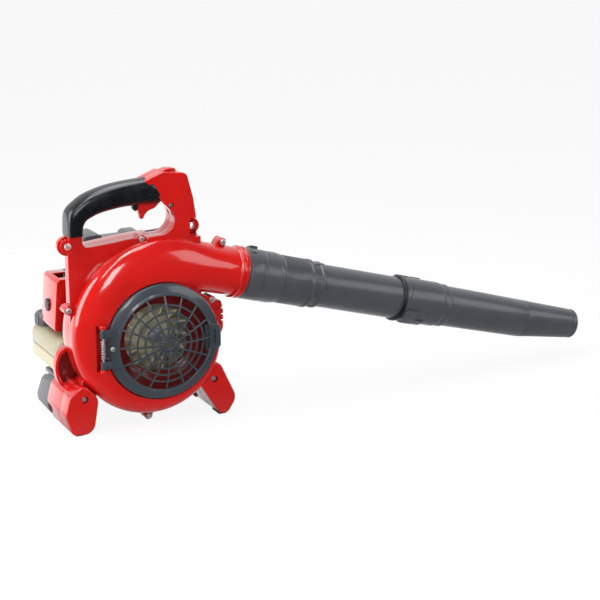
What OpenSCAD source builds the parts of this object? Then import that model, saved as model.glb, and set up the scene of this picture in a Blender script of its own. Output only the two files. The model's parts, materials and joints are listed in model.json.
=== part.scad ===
// Handheld petrol leaf blower with a swivel tube and a long tapering nozzle.
// Built about the fan axis: +X runs towards the nozzle, +Y runs back from the case split
// to the engine, +Z is up. placed() then shifts everything so that the origin lies on the
// ground under the middle of the whole machine.

/* [Fan case] */
// Height of the fan axis above the ground
axis_h = 119.3; // [117:0.1:124]
// Radius of the fan case where the air path starts, at the tongue
volute_start_r = 84; // [84:0.5:96]
// How much the case radius grows in one turn
volute_growth = 64; // [56:1:72]
// Depth of the intake-side half in front of the case split
front_depth = 37; // [37:0.5:44]
// Depth of the engine-side half behind the case split
rear_depth = 26; // [26:0.5:30]
// Straight part of the rim in front of the case split
front_band = 15; // [10:0.5:18]
// Straight part of the rim behind the case split
rear_band = 22; // [16:0.5:23]
// Wall of the case rim and back
case_wall = 2.5; // [2:0.1:3.5]
// Wall of the case front, round the intake
face_wall = 4.5; // [4:0.1:5]
// Angle of the tongue above the horizontal
tongue_a = 25; // [20:1:30]

/* [Intake] */
// Outer diameter of the intake guard
guard_d = 160; // [150:1:161]
// Inner diameter of the guard's flange
grille_d = 132; // [110:1:136]
// Diameter of the intake mouth in the case
mouth_d = 140; // [120:1:144]
// Diameter of the eye at the fan
eye_d = 92; // [80:1:100]
// Depth of the eye in front of the case split
eye_depth = 14; // [13:0.5:18]
// How far the middle of the guard stands out past its flange
dome_h = 15; // [8:1:20]
// Number of radial bars in the guard
bar_count = 16; // [8:1:20]
// Width of the radial bars
bar_w = 2.2; // [1.6:0.1:3]
// Number of ring bars in the guard
ring_count = 5; // [2:1:6]
// Opening angle of the guard
guard_swing = 110; // [60:5:120]

/* [Fan] */
// Outer diameter of the fan wheel
fan_d = 144; // [130:1:148]
// Number of fan blades
blade_count = 14; // [8:1:18]
// Thickness of a fan blade
blade_w = 2.2; // [1.6:0.1:3]

/* [Outlet and tubes] */
// Droop of the tubes below the horizontal
droop = 14.7; // [10:0.1:16]
// Distance of the outlet's end from the fan axis, along the tube
outlet_reach = 106; // [100:1:120]
// Outer radius of the outlet neck
neck_r = 34; // [34:0.5:36]
// Inner radius of the outlet
outlet_bore_r = 30; // [28:0.5:30.5]
// Outer radius of the spigots that the tubes slide over
spigot_r = 31.9; // [31.9:0.1:32.4]
// Radius of the lip round the outlet
lip_r = 36.6; // [36.6:0.1:38]
// Length of the first tube, up to its ring
collar_len = 57; // [45:1:70]
// Length of the ribbed grip on the main tube
sleeve_len = 50; // [40:1:60]
// Length of the windowed part behind the ribbed grip
window_len = 15; // [10:1:20]
// Where the main tube ends its smooth part, from the outlet
pipe_end = 262; // [220:1:300]
// Outer radius of the main tube
pipe_r = 31; // [29:0.5:31.5]
// Wall of the tubes
tube_wall = 2; // [1.6:0.1:2.5]
// Length of the nozzle's socket
socket_len = 80; // [70:1:100]
// Length of the nozzle's long straight cone
cone_len = 146; // [120:1:180]
// Upward bend of the nozzle's end
tip_bend = 2.6; // [0.5:0.1:4]
// Length of the nozzle's tapered end
tip_len = 92; // [60:1:110]
// Outer radius of the nozzle where the bend starts
bend_r = 28.5; // [27:0.5:29]
// Outer radius of the nozzle's mouth
mouth_r = 22.5; // [18:0.5:25]
// Clearance between tubes that turn on each other
turn_gap = 0.3; // [0.2:0.05:0.6]
// Twist that unlocks a tube
twist = 20; // [10:1:25]

/* [Handle and stand] */
// Half of the handle's moulded width
handle_half_w = 17; // [15:0.5:18]
// Half of the grip's width
grip_half_w = 18; // [15:0.5:20]
// Depth of the feet in front of the case split
foot_front = 29; // [24:1:34]
// Depth of the red part of the feet behind the case split
foot_rear = 55; // [50:1:55]
// Where the stand behind the feet ends
stand_rear = 117; // [112:1:125]
// Radius of the holes in the two eyelets
eyelet_r = 4.6; // [3:0.1:5.5]
// Half of an eyelet's thickness
eyelet_half_t = 4; // [3:0.5:6]

/* [Controls] */
// Travel of the throttle trigger
trigger_swing = 18; // [8:1:18]
// Half of the trigger's width
trigger_half_w = 5.5; // [4:0.5:6]
// Travel of the stop switch
switch_swing = 8; // [4:1:8]

/* [Engine] */
// Radius of the cylinder bore
bore_r = 17.5; // [16:0.1:18]
// Throw of the crank, half of the stroke
crank_throw = 14; // [12:0.5:14]
// Distance of the cylinder behind the case split
cylinder_y = 77; // [77:0.5:79]
// Radius of the crankshaft's journals
journal_r = 7.5; // [6.5:0.1:7.9]
// Radius of the crankshaft's ends
shaft_r = 5; // [4.5:0.1:6]
// Running clearance of shafts in their bores
shaft_gap = 0.05; // [0.02:0.01:0.1]
// Outer radius of the crankshaft bearings
bearing_r = 13; // [12.5:0.1:15]
// Number of cooling fins on the cylinder
fin_count = 7; // [4:1:7]
// Radius of the flywheel
flywheel_r = 42; // [36:0.5:44]
// Radius of the starter housing
starter_r = 56; // [54:0.5:57]
// How far the starter rope pulls out
pull_len = 600; // [400:10:800]

/* [Fuel and air] */
// Length of the fuel tank, front to back
tank_l = 118; // [90:1:120]
// Width of the fuel tank
tank_w = 60; // [50:1:62]
// Height of the fuel tank
tank_h = 52; // [40:1:56]
// Wall of the fuel tank
tank_wall = 2; // [1.5:0.1:3]
// Radius of the fuel cap
cap_r = 20; // [18:0.5:22]
// Depth of the air cleaner cover, across the machine
cover_w = 60; // [50:1:62]
// Height of the air cleaner cover
cover_h = 74; // [66:1:78]

/* [Fasteners] */
// Radius of the screw shanks
screw_r = 2.2; // [1.8:0.1:2.5]
// Radius of the screw heads
head_r = 4; // [3.5:0.1:4.5]
// Clearance round a screw shank
screw_gap = 0.15; // [0.1:0.05:0.3]

/* [Hidden] */
$fn = 64;

RED = [0.8, 0.09, 0.08];
GREY = [0.35, 0.37, 0.39];
BLACK = [0.08, 0.09, 0.1];
CREAM = [0.91, 0.89, 0.81];
STEEL = [0.72, 0.73, 0.75];
ALLOY = [0.66, 0.67, 0.68];
BRASS = [0.75, 0.6, 0.3];
EPS = 0.01;

// Air path: the rim is a spiral that meets the outlet's top line where both run parallel.
guard_r = guard_d / 2;
seat_r = guard_r + 1.5;
ring_base_r = guard_r;
ring_share = 0.15;
join_turn = 270 + tongue_a + droop;
join_h = 35.4;
join_r = volute_start_r + volute_growth * join_turn / 360;
outlet_offset = join_r - join_h;
blend_len = 75;
spigot_len = 22;
turn_step = 8;
edge_step = 22.5;
bulge_y = -front_depth;
guard_back_y = bulge_y + 2.7;
guard_face_y = bulge_y - 4;
guard_rise = 5;
dome_y = guard_face_y - guard_rise;

// Tube stations, measured along the tube from the outlet's end.
sleeve_start = collar_len + 0.5;
sleeve_end = sleeve_start + sleeve_len;
window_end = sleeve_end + window_len;
collar_spigot_end = sleeve_end - 8;
socket_start = pipe_end + 0.3;
pipe_tail = socket_start + 38;
socket_end = socket_start + socket_len;
bend_start = socket_end + cone_len;
socket_r = 33;
peg_h = 3.4;
peg_len = 6;
peg_half_a = 6;

// Outer ends of the machine, used to find the middle.
lip_len = 8;
tip_x = outlet_reach + bend_start + (tip_len + lip_len) * cos(tip_bend);
tip_z = outlet_offset + (tip_len + lip_len) * sin(tip_bend);
tip_top_x = tip_x - mouth_r * sin(tip_bend);
tip_top_z = tip_z + mouth_r * cos(tip_bend);
max_x = tip_top_x * cos(droop) + tip_top_z * sin(droop);
cover_y0 = 67;
min_x = -136;
min_y = dome_y - dome_h;
max_y = cover_y0 + cover_w + 2 * cap_r + 1;
mid_x = (min_x + max_x) / 2;
mid_y = (min_y + max_y) / 2;

// Engine stations behind the case split.
flange_y = rear_depth + 0.2;
web_t = 8;
rod_half_w = 4.7;
web_gap = 0.3;
cavity_r = 27;
cavity_half_l = rod_half_w + web_gap + web_t + 1.5;
bearing_w = 9.8;
case_back_y = cylinder_y + cavity_half_l + bearing_w + 2.2;
fly_y = case_back_y + 8;
fly_t = 14;
starter_y = case_back_y + 4;
rod_len = 50;
wrist_z = crank_throw + rod_len;
crown_z = wrist_z + 16;
skirt_z = wrist_z - 6;
head_z = crown_z + 2;
pin_r = 4.5;
pulley_r = 22;
rope_r = 1.6;
pulley_y = starter_y + 34;
rope_x = pulley_r + 3;
post_r = 6;
starter_l = max_y - starter_y;
seat_z = 58;
screw_end_y = starter_y + 52;
deck_z = 34;
pad_drop = 40;
arm_a = [10, 170, 270];
arm_r = 49.5;
coil_a = 52;
coil_t = 7.5;
engine_screw_a = [45, 135, 225, 315];
port_x = 33;
plug_r = 5;
plug_seat_z = head_z + 14;
fin_top_z = head_z + 6;
lead_z = plug_seat_z + 20;
carb_z = 55;
arm_x = -62;
primer_r = 9;
fan_front_y = -12;
fan_back_y = 20;
hood_y0 = 45;
hood_y1 = 114.5;
muffler_y0 = 52;
muffler_y1 = 98;
shelf_z = 62;
bolt_y = 100;
bolt_z = 32;
knob_seat = 114;
choke_x = -91;
choke_y = 94;
tank_y0 = 50;
tank_top_z = -8;
plate_z = tank_top_z - tank_h - 0.2;
cap_x = -101;
cap_y = cover_y0 + cover_w + cap_r + 1;
line_x = -72;
line_y = 90;
line_r = 2.4;
foot_split = 46;

// Trigger, switch, hinge and latch.
trigger_pivot = [-2, 193];
trigger_pin_r = 2;
switch_pivot = [30, 218];
switch_pin_r = 1.5;
switch_half_w = 8;
latch_x = 77.4;
hinge_turns = 8;
hinge_coil_half = 13;
hinge_coil_r = 3.2;
hinge_wire_r = 0.6;
inner_spigot_r = 31;

// Routes of the cable, the ignition lead and the fuel line, from end to end.
cable_r = 2.5;
cable_route = [
    [22, 0, 198], [31, 0, 192], [38, 2, 179], [41, 5, 166], [41.5, 13, 156], [41.5, 24, 149],
    [37, 33, 140], [20, 37, 136], [-10, 38, 133], [-40, 38, 122], [-57, 38, 106], [-62, 39, 91],
    [-62, 43, 81], [-62, 53, 78], [-62, 66, 78],
];
lead_r = 2.5;
lead_route = [
    [20.6, 113, 42.9], [16.7, 113, 46], [14.5, 112, 51], [14, 110.5, 60], [12, 109, 74],
    [9, 108, 94], [5, 105, 107], [1, 100, 115], [0, 91.2, 116],
];
fuel_route = [
    [-72, 90, -11], [-72, 90, -2], [-72, 89, 8], [-72, 85, 18], [-71, 81.5, 25], [-71, 81, 28.9],
];

// Places of the lugs round the case, in the plane of the split.
lugs = [[-17, 137], [101, 121], [-122, 50], [83, 42], [-13, -112]];
lug_r = 5.5;
lug_depth = 10;
foot_screw_places = [[-110, -70], [78, -67]];
pillar_screw = [24, 180];
sole_z = -axis_h;

// The two feet, seen from the front.
left_foot = [
    [-127, -64], [-109, -50], [-93, -72], [-103, -106], [-113, sole_z], [-124, sole_z],
    [-135, -104], [-136, -94],
];
right_foot = [
    [77, -45], [88, -50], [98, -70], [108, -96], [105, -105], [94, sole_z], [84, sole_z],
    [72, -104], [58, -70],
];

// Shifts a child from the fan axis to the middle of the ground.
module placed() {
    translate([-mid_x, -mid_y, axis_h]) children();
}

// Turns a child's +Z to the machine's front, -Y.
module facing_front() {
    rotate([90, 0, 0]) children();
}

// Turns a child's +Z to the machine's back, +Y.
module facing_back() {
    rotate([-90, 0, 0]) children();
}

// Puts a child's +Z along the tubes, its origin at the outlet's end.
module along_tube() {
    rotate([0, droop, 0])
        translate([outlet_reach, 0, outlet_offset])
            rotate([0, 90, 0])
                children();
}

// Extrudes an outline drawn in X and Z from one depth to another.
module slab(y0, y1) {
    translate([0, y1, 0])
        rotate([90, 0, 0])
            linear_extrude(y1 - y0)
                children();
}

// A rod along Y, from one depth to another.
module rod_y(x, z, r, y0, y1) {
    translate([x, y0, z]) facing_back() cylinder(r = r, h = y1 - y0);
}

function mix(a, b, u) = a + (b - a) * u;
function unit(v) = v / norm(v);
function turned(p, a) = [p[0] * cos(a) - p[1] * sin(a), p[0] * sin(a) + p[1] * cos(a)];

// The points of a rounded corner at b, between a and c.
function corner(a, b, c, r, steps = 5) =
    let (u = unit(a - b), v = unit(c - b), half = acos(u * v) / 2)
    let (middle = b + unit(u + v) * r / sin(half), start = b + u * r / tan(half))
    let (side = u[0] * v[1] - u[1] * v[0] > 0 ? -1 : 1)
    [for (i = [0:steps])
        middle + turned(start - middle, side * (180 - 2 * half) * i / steps)];

// An outline whose corners are all rounded to the same radius.
function rounded(points, r) =
    let (n = len(points))
    [for (i = [0:n - 1])
        each corner(points[(i + n - 1) % n], points[i], points[(i + 1) % n], r)];

// A smooth curve through hand-chosen points.
function smooth(points, steps) =
    let (n = len(points))
    [for (i = [0:n - 2], k = [0:steps - 1])
        let (a = points[max(i - 1, 0)], b = points[i])
        let (c = points[i + 1], d = points[min(i + 2, n - 1)], u = k / steps)
        0.5 * (2 * b + (c - a) * u + (2 * a - 5 * b + 4 * c - d) * u * u
            + (3 * b - a - 3 * c + d) * u * u * u),
     points[n - 1]];

// Skins a stack of rings that all have the same number of points.
module skin(rings) {
    n = len(rings);
    m = len(rings[0]);
    sides = [for (i = [0:n - 2], j = [0:m - 1])
        let (a = i * m + j, b = i * m + (j + 1) % m)
        each [[a, b, b + m], [a, b + m, a + m]]];
    polyhedron(
        points = [for (ring = rings) each ring],
        faces = concat(
            [[for (j = [m - 1:-1:0]) j]],
            sides,
            [[for (j = [0:m - 1]) (n - 1) * m + j]]
        ),
        convexity = 6
    );
}

// The rings of a round tube along a path; up is never parallel to the path.
function tube_rings(path, r, sides, up) =
    let (n = len(path))
    [for (i = [0:n - 1])
        let (t = unit(path[min(i + 1, n - 1)] - path[max(i - 1, 0)]))
        let (u = unit(cross(t, up)), v = cross(u, t))
        [for (j = [0:sides - 1])
            path[i] + r * (cos(360 * j / sides) * u + sin(360 * j / sides) * v)]];

// Radius of the case rim, a number of degrees clockwise from the tongue.
function spiral_r(turn) = volute_start_r + volute_growth * max(turn, 0) / 360;

// Radius at which the case front turns into its rounded edge.
function ring_r(turn) = ring_base_r + ring_share * (spiral_r(turn) - volute_start_r);

// Half of the case as a solid: straight rim, then an elliptical edge to a flat face.
module spiral_half(side, band, depth, inset) {
    turns = [for (t = [join_turn - 360:turn_step:join_turn - 1]) t, join_turn];
    layers = concat(
        [[1, 0], [1, band]],
        [for (a = [edge_step:edge_step:90]) [cos(a), mix(band, depth, sin(a))]]
    );
    rings = [for (layer = layers)
        [for (t = turns)
            let (inner = ring_r(t), r = mix(inner, spiral_r(t) - inset, layer[0]))
            [r * cos(tongue_a - t), side * layer[1], r * sin(tongue_a - t)]]];
    skin(side > 0 ? [for (i = [len(rings) - 1:-1:0]) rings[i]] : rings);
}

// Half of the duct that leads from the spiral to the round outlet.
module duct_half(side, band, depth, inset, end_r, past = 0) {
    end_band = 0.5;
    steps = 5;
    inner = ring_r(join_turn);
    rings = [for (i = [0:steps])
        let (u = i / steps, w = u * u * (3 - 2 * u))
        let (b = mix(band, end_band, w), d = mix(depth, end_r, w))
        let (top = mix(join_r - inset, outlet_offset + end_r, w))
        let (waist = mix(inner, outlet_offset, w))
        let (bottom = mix(outlet_offset - join_h + inset, outlet_offset - end_r, w))
        let (x = mix(-2, blend_len + past, u))
        concat(
            [[x, 0, top]],
            [for (a = [0:edge_step:90]) [x, side * mix(b, d, sin(a)), mix(waist, top, cos(a))]],
            [for (a = [90 - edge_step:-edge_step:0])
                [x, side * mix(b, d, sin(a)), mix(waist, bottom, cos(a))]],
            [[x, 0, bottom]]
        )];
    rotate([0, droop, 0])
        skin(side < 0 ? [for (i = [steps:-1:0]) rings[i]] : rings);
}

// Hollow half of the case, spiral and duct in one, with its children cut away.
module shell_half(side, band, depth, wall) {
    resize([0, max(depth, neck_r), 0]) difference() {
        union() {
            spiral_half(side, band, depth, 0);
            duct_half(side, band, depth, 0, neck_r);
        }
        translate([0, -side * EPS, 0]) {
            spiral_half(side, band, depth - wall, case_wall);
            duct_half(side, band, depth - wall, case_wall, outlet_bore_r, 0.2);
        }
        children();
    }
}

// Half of the round outlet: neck, grooved lip and the spigot for the first tube.
module outlet_half() {
    groove = 1.2;
    grip_r = 0.7;
    start = blend_len - outlet_reach - 2;
    rotate_extrude(angle = 180)
        polygon([
            [outlet_bore_r, start + 5], [outlet_bore_r - grip_r, start + 3],
            [outlet_bore_r - grip_r, start], [neck_r + grip_r, start],
            [neck_r + grip_r, start + 3], [neck_r, start + 5], [neck_r, -12], [lip_r, -11], [lip_r, -7], [lip_r - groove, -7],
            [lip_r - groove, -5], [lip_r, -5], [lip_r, 0], [spigot_r, 0],
            [spigot_r, spigot_len], [outlet_bore_r, spigot_len],
        ]);
}

// Outline of the red pillar in front of the grip, down into the case.
pillar_outline = concat(
    corner([-20, 216], [-4, 219.5], [13, 225], 4),
    [[13, 225.5]],
    corner([13, 225.5], [48, 222], [57, 186], 5),
    [[57, 186], [62, 159], [68, 136], [66, 118], [8, 122], [14, 139.5]],
    corner([14, 139.5], [34, 143], [31, 176], 9),
    corner([34, 143], [30, 177], [13, 182], 9),
    [[13, 183], [11, 197], [3, 209]]
);
pillar_hollow = [
    [16, 207], [41, 205], [50, 180], [45, 161], [45, 146], [38, 146], [38, 165], [31, 180],
    [16, 188],
];

// Outline of the bracket that carries the rear end of the grip.
bracket_outline = concat(
    [[-119, 30], [-119, 150], [-100, 150]],
    corner([-100, 150], [-98, 132], [-83, 131], 9),
    [[-60, 134.5], [-37, 138], [-12, 140], [-10, 122], [-60, 90], [-100, 30]]
);

// The bar inside the grip, joined to the pillar and the bracket.
core_outline = [
    [16, 208], [-31, 211], [-62, 207], [-86, 200.5], [-101, 191], [-112, 180], [-114, 145],
    [-104, 145], [-102.5, 168], [-88, 177], [-65, 184], [-42, 187.5], [-24, 189], [16, 189],
];
core_half_w = 13;
cavity_x = [-38, 16.5];
cavity_z = [180, 205];
cavity_half_w = 7;

// Handle parts of one case half, on the side that y points to.
module handle_half(side) {
    wall = 3;
    bracket_half_w = 7.5;
    pad_half_w = 13;
    mirror([0, side < 0 ? 1 : 0, 0]) difference() {
        union() {
            slab(0, handle_half_w) polygon(pillar_outline);
            slab(0, bracket_half_w) polygon(bracket_outline);
            slab(0, core_half_w) polygon(core_outline);
            translate([-119, 0, 140]) cube([20, pad_half_w, 9.8]);
            slab(0, eyelet_half_t) {
                translate([-119, 136]) circle(r = 13);
                translate([58, 147]) circle(r = 11);
            }
        }
        slab(-1, handle_half_w - wall) polygon(pillar_hollow);
        translate([cavity_x[0], -1, cavity_z[0]])
            cube([cavity_x[1] - cavity_x[0], cavity_half_w + 1, cavity_z[1] - cavity_z[0]]);
        rod_y(-119, 136, eyelet_r, -1, eyelet_half_t + 1);
        rod_y(-119, 136, eyelet_r + 4, eyelet_half_t, pad_half_w + 1);
        slab(eyelet_half_t, 30) polygon([[49, 133], [80, 133], [80, 161], [49, 161]]);
        rod_y(58, 147, eyelet_r, -1, eyelet_half_t + 1);
        translate([12, -1, 213]) cube([25, 9.5, 20]);
        rod_y(pillar_screw[0], pillar_screw[1], screw_r + screw_gap, -1, 13);
    }
}

// One foot of the case, from one depth to another.
module foot(points, y0, y1) {
    slab(y0, y1) polygon(rounded(points, 3));
}

// Ties the left foot to the rim, behind the foot's front face.
module foot_web(y0, y1) {
    slab(y0, y1) polygon([[-112, -52], [-98, -40], [-80, -64], [-96, -80]]);
}

module lug_bosses(y0, y1) {
    for (p = lugs) {
        rod_y(p[0], p[1], lug_r, y0, y1);
    }
}

module lug_bores() {
    for (p = lugs) {
        rod_y(p[0], p[1], screw_r + screw_gap, -lug_depth - 1, lug_depth + 1);
        rod_y(p[0], p[1], head_r + 0.4, -lug_depth - 6, -lug_depth);
    }
}

// Ties the lugs that stand clear of the rim to it.
module lug_webs(y0, y1) {
    slab(y0, y1) {
        polygon([[-22, 139], [-12, 139], [-8, 126], [-28, 126]]);
        polygon([[96, 124], [106, 121], [100, 105], [86, 108]]);
        polygon([[-124, 56], [-124, 44], [-108, 40], [-108, 56]]);
        polygon([[78, 48], [89, 42], [76, 28], [66, 40]]);
        polygon([[-19, -112], [-7, -112], [-4, -98], [-22, -98]]);
    }
}

// Intake bell, from the mouth in the face to the eye at the fan.
module intake_bell() {
    wall = 2.5;
    mouth = mouth_d / 2;
    eye = eye_d / 2;
    top = -guard_back_y - 0.3;
    facing_front()
        rotate_extrude()
            polygon([
                [mouth - 0.5, top], [mouth + wall + 4.5, top], [mouth + wall + 4.5, top - 2.5],
                [mouth + wall, top - 4], [eye + wall, eye_depth], [eye, eye_depth],
            ]);
}

// Pocket in the case front for the guard's hinge, with its pin at this place.
hinge_x = -86;
hinge_y = guard_face_y;
hinge_half_z = 31;
hinge_pin_r = 1.6;
pocket_x = [-98, -76];
pocket_half_z = 28.5;

module hinge_ears() {
    ear_r = 4.5;
    for (z = [pocket_half_z - 0.5, -pocket_half_z - 4]) {
        translate([hinge_x, hinge_y, z]) cylinder(r = ear_r, h = 4.5);
        translate([hinge_x - ear_r, hinge_y, z])
            cube([2 * ear_r, -hinge_y - front_depth + 3, 4.5]);
    }
}

module hinge_pocket() {
    translate([pocket_x[0], hinge_y - 10, -pocket_half_z])
        cube([pocket_x[1] - pocket_x[0], 18, 2 * pocket_half_z]);
}

// Outline of the grip, which fills the space between pillar and bracket.
grip_outline = concat(
    [[-119, 150], [-119, 180]],
    smooth([[-117, 187], [-105, 197.5], [-89, 206], [-64, 212], [-31, 216]], 3),
    [[-20, 216], [3, 209], [11, 197], [13, 183]],
    smooth([[-24, 183], [-42, 181], [-65, 178], [-86, 171], [-96, 163], [-99, 150]], 3)
);

// Hole through which the throttle cable leaves the pillar.
module cable_hole() {
    translate([41.5, 10, 158]) rotate([-125, 0, 0]) cylinder(r = cable_r + 0.8, h = 12);
}

// Slot, pins and bores for the trigger and the switch in one half of the handle.
module control_cuts() {
    rod_y(trigger_pivot[0], trigger_pivot[1], trigger_pin_r + 0.02, -10.2, 10.2);
    rod_y(switch_pivot[0], switch_pivot[1], switch_pin_r + shaft_gap, -11.3, 11.3);
}

module fan_case_front() {
    color(RED) placed() difference() {
        union() {
            shell_half(-1, front_band, front_depth, face_wall) {
                facing_front() {
                    translate([0, 0, 28]) cylinder(d = mouth_d, h = 20);
                    translate([0, 0, -guard_back_y]) cylinder(r = seat_r, h = 4);
                }
            }
            lug_webs(-8, 0);
            foot_web(-13, 0);
            slab(3 - front_depth, 8 - front_depth) translate([-87, 0]) square([24, 64], center = true);
            hinge_ears();
            lug_bosses(-lug_depth, 0);
            foot(left_foot, -foot_front, 0);
            foot(right_foot, -foot_front, 0);
            intake_bell();
            handle_half(-1);
        }
        hinge_pocket();
        translate([hinge_x, hinge_y, -hinge_half_z])
            cylinder(r = hinge_pin_r + shaft_gap, h = 2 * hinge_half_z);
        lug_bores();
        for (p = foot_screw_places) {
            rod_y(p[0], p[1], screw_r + screw_gap, -foot_front - 1, 1);
            rod_y(p[0], p[1], head_r + 1, -foot_front - 1, -foot_front + 6);
        }
        rod_y(pillar_screw[0], pillar_screw[1], 3.7, -handle_half_w - 1, -12);
        translate([latch_x - 0.7, -front_depth - 1, -6]) cube([3.8, 8, 12]);
        control_cuts();
    }
    color(RED) placed() along_tube() {
        rotate([0, 0, 180]) outlet_half();
        intersection() {
            peg(0);
            translate([0, -60, 0]) cube([60, 60, 60]);
        }
    }
}

// Vent block on the right of the rear half, with level grooves.
module side_vents() {
    groove = 5;
    difference() {
        slab(10, 40) polygon([[80, -22], [108, -22], [116, -6], [116, 18], [110, 35], [76, 35]]);
        for (z = [-14, 0, 14]) {
            translate([88, 14, z]) cube([40, 22, groove]);
        }
    }
}

// Curved wall behind the left of the rim, and the rib that guards the tank.
module rear_skirt() {
    wall = 3;
    gap = 11;
    turns = [165:5:240];
    outer = [for (t = turns) let (r = spiral_r(t) - gap) [r * cos(tongue_a - t), r * sin(tongue_a - t)]];
    inner = [for (i = [len(outer) - 1:-1:0]) outer[i] * (1 - wall / norm(outer[i]))];
    slab(rear_depth - 3, 46) polygon(concat(outer, inner));
    slab(14, rear_depth)
        polygon(concat(
            smooth([[-116, -4], [-130, -14], [-135.5, -34], [-131, -56], [-118, -66]], 4),
            smooth([[-116, -62], [-127, -52], [-131, -34], [-126, -18], [-112, -8]], 4)
        ));
}

module fan_case_rear() {
    color(RED) placed() difference() {
        union() {
            shell_half(1, rear_band, rear_depth, case_wall);
            lug_webs(0, 8);
            foot_web(0, 20);
            side_vents();
            rear_skirt();
            lug_bosses(0, lug_depth);
            foot(left_foot, 0, foot_split);
            foot(right_foot, 0, foot_rear);
            low_foot(left_foot, foot_split, foot_rear);
            handle_half(1);
        }
        rod_y(0, 0, 14, 10, rear_depth + 1);
        for (a = engine_screw_a) {
            rod_y(36 * cos(a), 36 * sin(a), screw_r + screw_gap, 20, rear_depth + 1);
        }
        lug_bores();
        for (p = foot_screw_places) {
            rod_y(p[0], p[1], screw_r + screw_gap, -1, 20);
        }
        cable_hole();
        control_cuts();
    }
    color(RED) placed() along_tube() {
        outlet_half();
        intersection() {
            peg(0);
            cube([60, 60, 60]);
        }
    }
}

module handle_grip() {
    color(BLACK) placed() difference() {
        slab(-grip_half_w, grip_half_w) polygon(grip_outline);
        slab(-core_half_w - 0.02, core_half_w + 0.02) polygon(core_outline);
        translate([-30, -7, 170]) cube([50, 14, 30]);
        rod_y(trigger_pivot[0], trigger_pivot[1], trigger_pin_r + 1, -grip_half_w - 1, grip_half_w + 1);
    }
}

module throttle_trigger() {
    color(RED) placed() difference() {
        slab(-trigger_half_w, trigger_half_w)
            polygon(concat(
                [[-20, 184], [-17, 196], [-8, 200], [6, 199], [11, 192], [12, 182]],
                smooth([[4, 176], [-4, 173.5], [-9, 169], [-12, 163.5]], 4),
                [[-15, 163]]
            ));
        rod_y(trigger_pivot[0], trigger_pivot[1], trigger_pin_r + shaft_gap, -10, 10);
    }
}

module trigger_pin() {
    color(STEEL) placed() rod_y(trigger_pivot[0], trigger_pivot[1], trigger_pin_r, -10, 10);
}

module trigger_spring() {
    y0 = trigger_half_w + 0.3;
    color(STEEL) placed() difference() {
        rod_y(trigger_pivot[0], trigger_pivot[1], 5, y0, cavity_half_w - 0.2);
        rod_y(trigger_pivot[0], trigger_pivot[1], trigger_pin_r + 0.3, y0 - 1, cavity_half_w);
    }
}

module throttle_cable() {
    color(BLACK) placed() skin(tube_rings(smooth(cable_route, 3), cable_r, 8, [0.2, 0.3, 1]));
}

module stop_switch() {
    color(RED) placed() {
        slab(-switch_half_w, switch_half_w)
            polygon([[14, 216], [13, 226], [24, 229], [34, 228.5], [35.5, 224], [35.5, 216]]);
        rod_y(switch_pivot[0], switch_pivot[1], switch_pin_r, -11, 11);
    }
}

// Front surface of the guard's dome at a radius.
function dome(r) = dome_y - dome_h * (1 - pow(2 * r / grille_d, 2));

module intake_guard() {
    grille_r = grille_d / 2;
    bar_h = 3.4;
    steps = [for (i = [0:8]) mix(6, grille_r, i / 8)];
    color(GREY) placed() difference() {
        union() {
            facing_front() rotate_extrude()
                polygon([
                    [grille_r - 2, -dome_y], [grille_r, -guard_face_y], [grille_r, -guard_back_y + 2],
                    [guard_r - 3, -guard_back_y + 2], [guard_r - 3, -guard_back_y],
                    [guard_r, -guard_back_y], [guard_r, -guard_face_y - 1.5],
                    [guard_r - 1.5, -guard_face_y], [grille_r + 3, -guard_face_y],
                    [grille_r + 1, -dome_y],
                ]);
            for (i = [1:ring_count]) {
                r = grille_r * (0.2 + 0.15 * (i - 1));
                facing_front() rotate_extrude()
                    translate([r - bar_w / 2, -dome(r) - bar_h]) square([bar_w, bar_h - 0.8]);
            }
            for (i = [0:bar_count - 1]) {
                rotate([0, 360 * i / bar_count, 0])
                    translate([0, 0, -bar_w / 2])
                        linear_extrude(bar_w)
                            polygon(concat(
                                [for (r = steps) [r, dome(r)]],
                                [for (k = [8:-1:0]) [steps[k], dome(steps[k]) + bar_h - 0.3]]
                            ));
            }
            rod_y(0, 0, 8, dome(0), dome(0) + bar_h);
            slab(hinge_y - 2.5, hinge_y + 3.5)
                for (z = [-21.5, 21.5]) {
                    translate([hinge_x + 6, z]) square([12, 11], center = true);
                }
            for (z = [16, -27]) {
                translate([hinge_x, hinge_y, z]) cylinder(r = 4.2, h = 11);
            }
            latch_tab();
        }
        translate([hinge_x, hinge_y, -hinge_half_z])
            cylinder(r = hinge_pin_r + shaft_gap, h = 2 * hinge_half_z);
        rod_y(-74, 0, 1.75, guard_face_y - 5, guard_back_y + 5);
    }
}

// Latch at the guard's free edge, with its hook into the case.
module latch_tab() {
    difference() {
        slab(guard_face_y - 2.5, guard_face_y + 3.5) polygon([[62, -21], [84, -17], [84, 14], [62, 18]]);
        for (x = [67, 73]) {
            slab(guard_face_y - 4, guard_face_y + 5) translate([x, -12]) square([2.4, 22]);
        }
    }
    translate([latch_x, guard_face_y + 3, -5]) cube([2.4, 7, 10]);
}

module guard_hinge_pin() {
    color(STEEL) placed()
        translate([hinge_x, hinge_y, -hinge_half_z]) cylinder(r = hinge_pin_r, h = 2 * hinge_half_z);
}

function hinge_coil() =
    let (steps = hinge_turns * 8)
    [for (i = [0:steps])
        let (a = 45 * i, z = mix(-hinge_coil_half, hinge_coil_half, i / steps))
        [hinge_x + hinge_coil_r * cos(a), hinge_y + hinge_coil_r * sin(a), z]];

// Least distance between turns of the coil, less the wire.
coil_gap = let (path = hinge_coil())
    min([for (i = [0:len(path) - 1], j = [i + 5:len(path) - 1]) norm(path[i] - path[j])])
    - 2 * hinge_wire_r;
echo("guard_hinge_spring least gap", coil_gap);

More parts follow.
